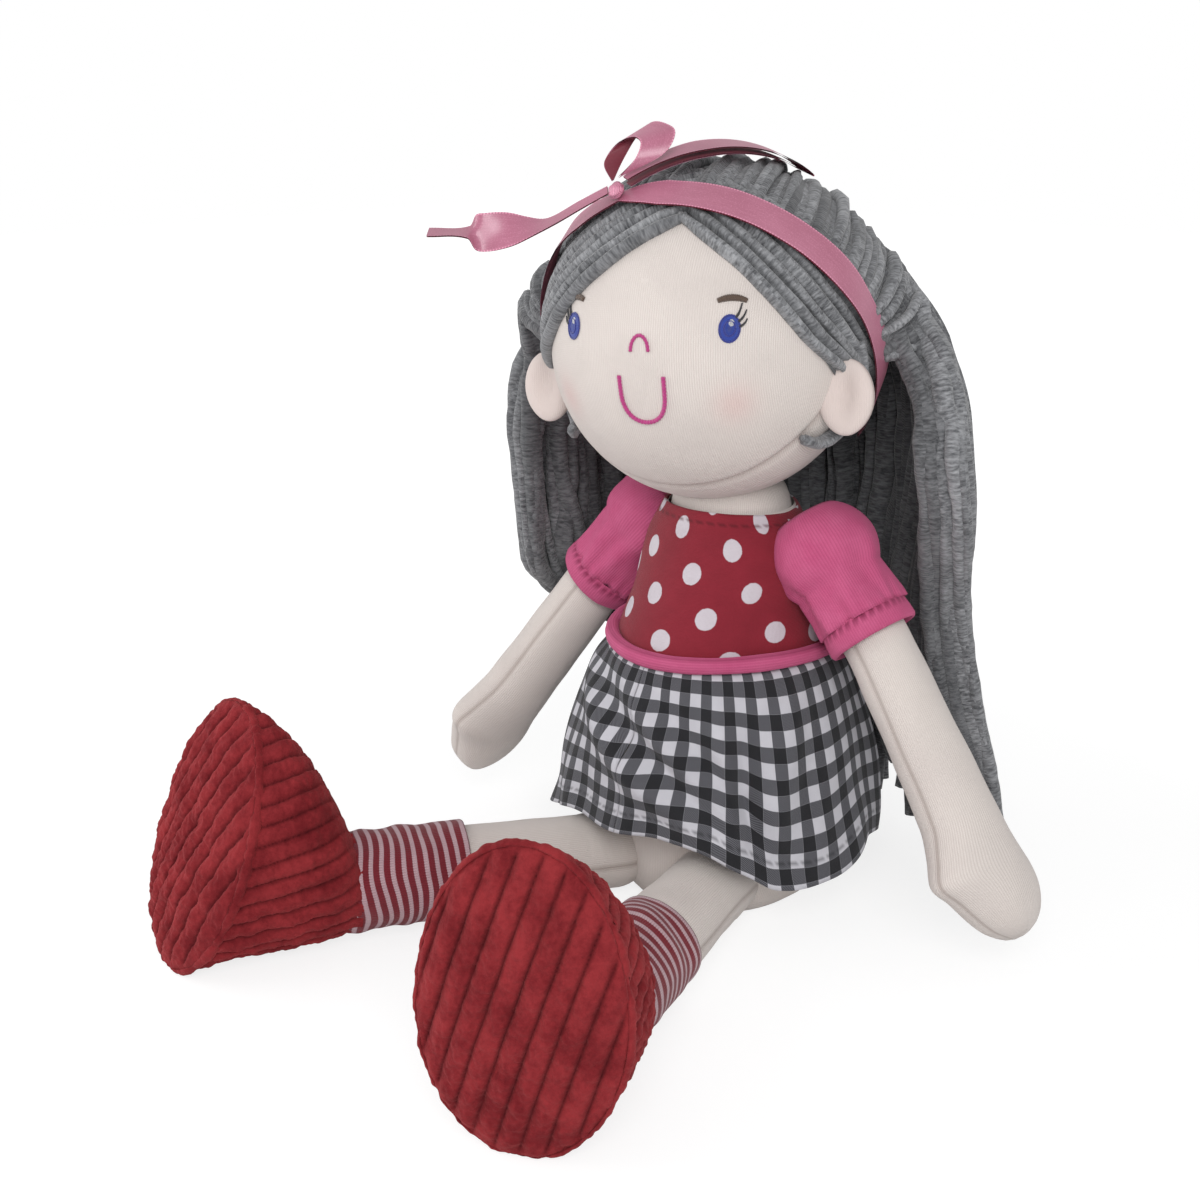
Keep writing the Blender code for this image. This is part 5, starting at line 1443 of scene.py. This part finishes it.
def make_torso():
    for name, node, sign in (("body_front", "torso_front_panel", -1), ("body_back", "torso_back_panel", 1)):
        surface = Surface()
        rows = []
        for i in range(40):
            height = 0.0003 + 0.1625 * i / 39
            half, front, back = sample(TORSO_ROWS, height)
            reach = front if sign < 0 else back
            rows.append([
                Vector((half * math.cos(math.pi * j / 32), sign * reach * math.sin(math.pi * j / 32), height))
                for j in range(33)
            ])
        surface.grid(rows, cloth=lambda r, c: (0.0044 * c, 0.0042 * r))
        floor_row = [Vector((p.x * 0.02, p.y * 0.02, 0.0003)) for p in rows[0]]
        surface.grid([rows[0], floor_row], cloth=lambda r, c: (0.0044 * c, 0.03 * r))
        made = place(surface.build(name, CREAM), "torso", "cream_knit", node)
        if sign < 0:
            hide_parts("torso_stuffing")
    surface = Surface()
    rows = []
    for i in range(1, 20):
        polar = math.pi * i / 20
        rows.append([
            Vector((0.024 * math.sin(polar) * math.cos(TAU * j / 40),
                0.024 * math.sin(polar) * math.sin(TAU * j / 40), 0.158 + 0.024 * math.cos(polar)))
            for j in range(40)
        ])
    surface.grid(rows, wrap=True, first=Vector((0, 0, 0.182)), last=Vector((0, 0, 0.134)), cloth=lambda r,
        c: (0.0038 * c, 0.0038 * r))
    made = place(surface.build("neck_soft", CREAM), "neck", "cream_knit", "neck")


def make_bodice():
    sides = 120
    rows = []
    seam = []
    count = 60
    for i in range(count):
        share = i / (count - 1)
        height = BODICE_BOTTOM + (BODICE_TOP - BODICE_BOTTOM) * share
        spread = 0.0006 + CLOTH * 0.7
        rows.append(torso_row(height, spread, sides, 0.0004))
        from_top = BODICE_TOP - height
        seam.append([0.7 if abs(from_top - 0.0035) < 0.0006 and (j % 3) else 0.0 for j in range(sides)])
    girth = 0.235
    for i, row in enumerate(rows):
        for j, point in enumerate(row):
            point.z += BODICE_FRONT_RISE * max(0.0, math.sin(TAU * j / sides)) * (i / (count - 1)) ** 3
    lip = [Vector((p.x * 0.96, p.y * 0.96, p.z - 0.0006)) for p in rows[-1]]
    rows.append(lip)
    seam.append([0.0] * sides)
    surface = Surface()
    surface.grid(rows, wrap=True, cloth=lambda r, c: (girth * c / sides, 0.00097 * r), seam=seam)
    made = place(surface.build("dotted_bodice", DOTTED), "torso", "dotted_cotton", "bodice")
    ring = [p for p in torso_row(PIPING_HEIGHT, 0.0006 + PIPING_RADIUS, 140)]
    ring = [Vector((p.x, p.y, p.z + 0.0006 * math.sin(3 * TAU * i / 140))) for i, p in enumerate(ring)]
    surface = Surface()
    rows = []
    for i, point in enumerate(ring):
        along = (ring[(i + 1) % 140] - ring[i - 1]).normalized()
        out = Vector((point.x, point.y, 0)).normalized()
        up = along.cross(out).normalized()
        size = PIPING_RADIUS * (1 + 0.07 * wobble(point, 90.0))
        rows.append([
            point + out * (size * math.cos(TAU * k / 12)) + up * (size * 1.15 * math.sin(TAU * k / 12))
            for k in range(12)
        ])
    rows.append(rows[0])
    surface.grid(rows, wrap=True, cloth=lambda r, c: (0.0015 * c, 0.002 * r),
        seam=[[0.5 if k == 2 else 0.0 for k in range(12)] for _ in rows])
    place(surface.build("piping_roll", PINK), "torso", "pink_jersey", "waist_piping")


def skirt_point(azimuth, share, lift=0.0):
    """A point of the skirt: azimuth from the front towards +X, share from waist (0) to hem (1)."""
    half, front, back = sample(TORSO_ROWS, SKIRT_TOP)
    facing = math.cos(azimuth)
    depth = front if facing > 0 else back
    waist = Vector(((half + 0.0012) * math.sin(azimuth), -(depth + 0.0012) * facing))
    reach, hem = sample(SKIRT_HEM_ROWS, math.degrees(azimuth))
    fold = 0.0009 * share * math.cos(9 * azimuth + 1.3 * math.sin(2 * azimuth))
    fold += 0.0040 * share * wobble((math.cos(azimuth), math.sin(azimuth), share * 0.8), 3.0)
    for start, turn, width, depth in SKIRT_FOLDS:
        away = azimuth - start - turn * share
        swell = math.exp(-(away / width) ** 2) - 0.8 * math.exp(-((away - 1.7 * width) / width) ** 2)
        fold += depth * swell * math.sin(math.pi * min(1.0, share * 0.9 + 0.08))
    gather = 0.0011 * math.exp(-share * 6) * math.cos(41 * azimuth + 2 * math.sin(5 * azimuth))
    radius = reach * SKIRT_HEM_REACH + fold + gather + lift
    flare = share ** 0.6
    x = waist.x + (radius * math.sin(azimuth) - waist.x) * flare
    y = waist.y + (-radius * facing - waist.y) * flare
    z = SKIRT_TOP + (hem * SKIRT_HEM_HEIGHT - SKIRT_TOP) * share
    return Vector((x, y, z))


def make_skirt():
    girth = 0.44
    for side, sign in SIDES:
        columns, count = 150, 60
        rows = []
        seam = []
        for i in range(count):
            share = i / (count - 1)
            rows.append([skirt_point(sign * math.pi * (0.0015 + 0.997 * c / columns),
                share) for c in range(columns + 1)])
            seam.append([0.55 if i == count - 8 and c % 4 else 0.0 for c in range(columns + 1)])
        surface = Surface()
        surface.grid(rows, cloth=lambda r, c: (girth / 2 * c / columns, 0.080 * r / (count - 1)), seam=seam)
        made = surface.build("checked_skirt_" + side, GINGHAM)
        thicken(made, 0.0009)
        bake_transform(made)
        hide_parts("skirt_" + side)


def thicken(obj, thickness):
    modifier = obj.modifiers.new("cloth", "SOLIDIFY")
    modifier.thickness = thickness
    modifier.offset = 0.0
    bpy.context.view_layer.update()
    mesh = bpy.data.meshes.new_from_object(obj.evaluated_get(bpy.context.evaluated_depsgraph_get()))
    obj.modifiers.clear()
    obj.data = mesh


def limb_axes(direction, hint):
    along = Vector(direction).normalized()
    up = (hint - along * hint.dot(along)).normalized()
    return along, up, up.cross(along).normalized()


def arm_axis(side, sign, distance):
    pivot = Vector((sign * SHOULDER.x, SHOULDER.y, SHOULDER.z))
    upper = Vector(SLEEVE_DIRECTIONS[side]).normalized()
    lower = Vector(ARM_DIRECTIONS[side]).normalized()
    bend = 0.012
    if distance <= ARM_BEND - bend:
        return pivot + upper * distance, upper
    if distance >= ARM_BEND + bend:
        return pivot + upper * ARM_BEND + lower * (distance - ARM_BEND), lower
    t = (distance - ARM_BEND + bend) / (2 * bend)
    start = pivot + upper * (ARM_BEND - bend)
    corner = pivot + upper * ARM_BEND
    end = corner + lower * bend
    point = start.lerp(corner, t).lerp(corner.lerp(end, t), t)
    return point, upper.lerp(lower, t).normalized()


def add_limb(surface, rows, sides, first, last, seams, depth=0.0004, reach=0.0009):
    """rows of centre, across and up vectors with their reaches; seams are angles of sewn lines."""
    rings, marks, travelled = [], [], [0.0]
    for i, (centre, side_way, up, half, front, back) in enumerate(rows):
        if i:
            travelled.append(travelled[-1] + (centre - rows[i - 1][0]).length)
        ring, mark = [], []
        for j in range(sides):
            angle = TAU * j / sides
            reach_up = front if math.sin(angle) > 0 else back
            girth = (half + max(front, back)) / 2
            dent, line = 0.0, 0.0
            for at in seams:
                away = abs((angle - at + math.pi) % TAU - math.pi) * girth
                dent += depth * math.exp(-(away / reach) ** 2)
                line += 0.5 * math.exp(-(away / 0.00035) ** 2)
            point = side_way * ((half - dent) * math.cos(angle)) + up * ((reach_up - dent) * math.sin(angle))
            spot = centre + point
            ring.append(spot + point.normalized() * 0.0004 * wobble(spot, 70.0))
            mark.append(line)
        rings.append(ring)
        marks.append(mark)
    wide = TAU * rows[len(rows) // 2][3]
    surface.grid(rings, wrap=True, first=first, last=last, cloth=lambda r,
        c: (wide * c / sides, travelled[r]), seam=marks)
    return rings


def make_arms():
    for side, sign in SIDES:
        rows = []
        count = 96
        for i in range(count):
            share = 0.02 + 0.968 * math.sin(math.pi / 2 * i / (count - 1)) ** 0.9
            centre, direction = arm_axis(side, sign, share * ARM_LENGTH)
            along, up, across = limb_axes(direction, Vector((0, -1, 0)))
            forward, backward, thick = sample(ARM_ROWS, share)
            rows.append((centre, across, up, thick * ARM_RADIUS, forward * ARM_RADIUS, backward * ARM_RADIUS))
        surface = Surface()
        tip = arm_axis(side, sign, 0.992 * ARM_LENGTH)[0]
        add_limb(surface, rows, 56, None, tip, (math.pi / 2, -math.pi / 2))
        made = place(surface.build("arm_soft_" + side, CREAM), "arm_" + side, "cream_knit",
            "arm_skin_" + side, "arm_stuffing_" + side)
        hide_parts("armhole_seam_" + side)
        make_sleeve(side, sign)


def make_sleeve(side, sign):
    pivot = Vector((sign * SHOULDER.x, SHOULDER.y, SHOULDER.z))
    along, up, across = limb_axes(SLEEVE_DIRECTIONS[side], Vector((0, -1, 0)))
    length = SLEEVE_LENGTHS[side]
    start = -math.acos(0.0118 / SHOULDER_RADIUS)
    profile = []
    for i in range(14):
        angle = start + (math.acos(SLEEVE_RADIUS / SHOULDER_RADIUS) - start) * i / 13
        profile.append((SHOULDER_RADIUS * math.sin(angle), SHOULDER_RADIUS * math.cos(angle) + 0.0004))
    for i in range(1, 9):
        profile.append((profile[13][0] + (length - profile[13][0]) * i / 8, SLEEVE_RADIUS + 0.0005))
    sides = 96
    rows, seam = [], []
    for i, (distance, radius) in enumerate(profile):
        row = []
        for j in range(sides):
            angle = TAU * j / sides
            pucker = 0.0005 * math.cos(17 * angle + 2 * math.sin(angle)) * math.exp(
                -((distance - length) / 0.006) ** 2
            )
            crease = 0.0026 * wobble((math.cos(angle) * 2.4, math.sin(angle) * 2.4, distance * 42), 1.0,
                sign * 3.0)
            crease *= min(1.0, max(0.0, (distance + 0.004) / 0.012))
            reach = radius + pucker + crease
            row.append(
                pivot + along * distance
                + across * (reach * math.cos(angle)) + up * (reach * math.sin(angle))
            )
        rows.append(row)
        seam.append([0.0] * sides)
    surface = Surface()
    surface.grid(rows, wrap=True, cloth=lambda r, c: (0.105 * c / sides, profile[r][0]), seam=seam)
    made = surface.build("sleeve_puff_" + side, PINK)
    thicken(made, 0.0009)
    place(made, "arm_" + side, "pink_jersey", "sleeve_" + side)
    rows, seam = [], []
    hem = ((-0.0008, -0.0004), (0.0004, 0.0010), (0.0035, 0.0013), (0.0070, 0.0014), (0.0082, 0.0008),
        (0.0084, -0.0004), (0.0070, -0.0010), (0.0020, -0.0012))
    for distance, lift in hem:
        row, mark = [], []
        for j in range(sides):
            angle = TAU * j / sides
            reach = SLEEVE_RADIUS + lift + 0.0003 * wobble((math.cos(angle) * 3, math.sin(angle) * 3,
                distance * 50), 1.0, 5.0)
            row.append(
                pivot + along * (length + distance)
                + across * (reach * math.cos(angle)) + up * (reach * math.sin(angle))
            )
            mark.append(0.8 if abs(distance - 0.0004) < 0.0002 and j % 3 else 0.0)
        rows.append(row)
        seam.append(mark)
    surface = Surface()
    surface.grid(rows, wrap=True, cloth=lambda r, c: (0.105 * c / sides, hem[r][0]), seam=seam)
    made = surface.build("sleeve_edge_" + side, PINK)
    place(made, "arm_" + side, "pink_jersey", "sleeve_hem_" + side)


def leg_axes(side, sign):
    splay = LEG_SPLAYS[side]
    flat = Vector((sign * math.sin(splay), -math.cos(splay), 0)) * math.cos(LEG_RISE)
    return limb_axes(flat + Vector((0, 0, math.sin(LEG_RISE))), Vector((0, 0, 1)))


def make_legs():
    for side, sign in SIDES:
        pivot = HIPS[side]
        along, up, across = leg_axes(side, sign)
        rows = []
        for i in range(60):
            distance = -0.0135 + (ANKLE + 0.0135) * i / 59
            if distance < 0.012:
                radius = 0.016 * math.sqrt(max(0.05, 1 - min(0.0, distance / 0.016) ** 2))
            else:
                radius = THIGH_RADIUS * sample(LEG_ROWS, distance / ANKLE)[0]
            rows.append((pivot + along * distance, across, up, radius, radius, radius))
        surface = Surface()
        add_limb(surface, rows, 48, pivot - along * 0.0145, pivot + along * ANKLE, (0.0, math.pi))
        made = place(surface.build("leg_soft_" + side, CREAM), "leg_" + side, "cream_knit",
            "leg_skin_" + side, "leg_stuffing_" + side)
        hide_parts("hip_seam_" + side)
        make_sock(side, sign, pivot, along, up, across)


def make_sock(side, sign, pivot, along, up, across):
    sides, count = 72, 60
    rows = []
    for i in range(count):
        share = i / (count - 1)
        distance = SOCK_START + (ANKLE + 0.003 - SOCK_START) * share
        row = []
        for j in range(sides):
            angle = TAU * j / sides
            fold = 0.0014 * wobble((math.cos(angle) * 1.3, math.sin(angle) * 1.3, distance * 130), 1.0,
                sign * 4.0)
            fold -= 0.0009 * max(0.0, 1 - share * 5)
            reach = SOCK_RADIUS + fold + 0.0004 * math.exp(-share * 30)
            slide = 0.0034 * wobble((math.cos(angle), math.sin(angle), distance * 30), 1.0, 7.0 + sign)
            slide += 0.0022 * math.cos(angle - 0.6) * share
            row.append(
                pivot + along * (distance + slide)
                + across * (reach * math.cos(angle)) + up * (reach * math.sin(angle))
            )
        rows.append(row)
    lip = [pivot + along * (SOCK_START + 0.0004) + (p - pivot - along * SOCK_START) * 0.93 for p in rows[0]]
    surface = Surface()
    surface.grid([lip] + rows, wrap=True, cloth=lambda r, c: (0.108 * c / sides, 0.048 * r / count))
    made = place(surface.build("sock_knit_" + side, SOCK), "leg_" + side, "striped_knit", "sock_" + side)


def shoe_frames(side, sign):
    along, up, across = leg_axes(side, sign)
    ankle = Matrix((across, up, along)).transposed()
    twist = (
        Matrix.Rotation(SHOE_TURNS[side], 3, up)
        @ Matrix.Rotation(SHOE_LEANS[side], 3, across)
        @ Matrix.Rotation(SHOE_ROLLS[side], 3, along)
    )
    return HIPS[side], along, ankle, twist @ ankle


def shoe_ring(side, sign, share, sides):
    pivot, along, ankle, sole = shoe_frames(side, sign)
    growth = sample(SHOE_GROWTH, share)[0]
    length = SOLE_DISTANCES[side] - ANKLE
    waist = SOLE_WAIST_SHARE * SOLE_LENGTH
    mix = ankle.to_quaternion().slerp(sole.to_quaternion(), share).to_matrix()
    across, up, out = mix.col[0], mix.col[1], mix.col[2]
    down_reach = SOCK_RADIUS + (waist - SOCK_RADIUS) * growth
    up_reach = SOCK_RADIUS + (SOLE_LENGTH - waist - SOCK_RADIUS) * growth
    half = SOCK_RADIUS + (SOLE_WIDTH / 2 - SOCK_RADIUS) * growth
    heel = pivot + along * (ANKLE + length * share) - ankle.col[1] * SOCK_RADIUS
    heel.z *= 1 - growth
    centre = heel + up * down_reach
    ring = []
    for j in range(sides):
        angle = TAU * j / sides - math.pi / 2
        rise = math.sin(angle)
        ring.append(
            centre + across * (half * math.cos(angle))
            + up * ((up_reach if rise > 0 else down_reach) * rise)
        )
    return ring, centre, out


def wale_height(distance):
    """The round of a cord and the groove beside it, from 0 in the groove to 1."""
    return abs(math.sin(math.pi * distance / WALE)) ** 0.62


def plush(point):
    return 0.0008 * wobble(point, 230.0) + 0.0010 * wobble(point, 90.0) + 0.0005 * wobble(point, 600.0)


def make_shoes():
    for side, sign in SIDES:
        sides, count = 420, 74
        rows, groove = [], []
        for i in range(count):
            share = -0.02 + 1.02 * i / (count - 1)
            ring, centre, out = shoe_ring(side, sign, max(0.0, share), sides)
            if share < 0:
                ring = [p + out * share * 0.05 for p in ring]
            girth = [0.0]
            for a, b in zip(ring, ring[1:]):
                girth.append(girth[-1] + (b - a).length)
            total = girth[-1] + (ring[0] - ring[-1]).length
            row, mark = [], []
            for j, point in enumerate(ring):
                distance = min(girth[j], total - girth[j])
                height = wale_height(distance)
                seam = math.exp(-((total / 2 - distance) / 0.0018) ** 2) + math.exp(-(distance / 0.0018) ** 2)
                away = (point - centre).normalized()
                depth = WALE_DEPTH * (height - 0.85) * min(1.0, 0.35 + share * 2.0) - 0.0012 * seam
                moved = point + away * (depth + plush(point))
                moved.z = max(moved.z, 0.0004)
                row.append(moved)
                # Painted shade for the velvet, darkest at the bottom of each groove.
                mark.append(max(0.0, 1 - height * 1.6) * 0.85)
            rows.append(row)
            groove.append(mark)
        surface = Surface()
        surface.grid(rows, wrap=True, groove=groove, cloth=lambda r, c: (0.28 * c / sides, 0.001 * r))
        made = place(surface.build("shoe_body_" + side, VELVET), "leg_" + side, "corded_velvet",
            "shoe_upper_" + side, "shoe_stuffing_" + side)
        make_sole(side, sign)


def make_sole(side, sign):
    sides, count = 360, 110
    rim, centre, out = shoe_ring(side, sign, 1.0, sides)
    sole = shoe_frames(side, sign)[3]
    across, up = sole.col[0], sole.col[1]
    tilt = math.radians(17 if sign > 0 else 28)
    ribs = across * math.cos(tilt) - up * math.sin(tilt)
    rows, groove = [], []
    for i in range(count):
        share = 1 - i / count
        row, mark = [], []
        for point in rim:
            flat = centre + (point - centre) * share
            crown = 0.0016 + SOLE_BULGE * (1 - share ** 2.4) ** 0.6
            height = wale_height((flat - centre).dot(ribs) + 0.002)
            edge = min(1.0, (1 - share) * 14)
            moved = flat + out * (crown + WALE_DEPTH * (height - 0.85) * edge + plush(flat))
            moved.z = max(moved.z, 0.0004)
            row.append(moved)
            # Painted shade for the velvet, darkest at the bottom of each groove between the ribs.
            mark.append(max(0.0, 1 - height * 1.6) * 0.85 * edge)
        rows.append(row)
        groove.append(mark)
    welt_rows, welt_marks = [], []
    for k in range(9):
        angle = math.pi * 0.42 - math.pi * 1.1 * k / 8
        row = []
        for point in rim:
            away = (point - centre).normalized()
            size = 0.0021 * (1 + 0.35 * wobble(point, 420.0) + 0.4 * wobble(point, 120.0))
            moved = point + out * (0.0002 + size * math.sin(angle)) + away * (size * math.cos(angle) - 0.0008)
            moved.z = max(moved.z, 0.0004)
            row.append(moved)
        welt_rows.append(row)
        welt_marks.append([0.0] * sides)
    surface = Surface()
    surface.grid(welt_rows[::-1] + rows, wrap=True, last=centre + out * (0.0016 + SOLE_BULGE),
        groove=welt_marks + groove, cloth=lambda r, c: (0.28 * c / sides, 0.001 * r))
    made = place(surface.build("shoe_tread_" + side, VELVET), "leg_" + side, "corded_velvet",
        "shoe_sole_" + side)


def main():
    rng = random.Random(7)
    make_camera()
    make_stage()
    make_head()
    make_ears()
    make_face()
    make_front_strips(rng)
    make_hanging_hair(rng)
    make_ribbon()
    make_bow()
    make_torso()
    make_bodice()
    make_skirt()
    make_arms()
    make_legs()
    make_shoes()


main()
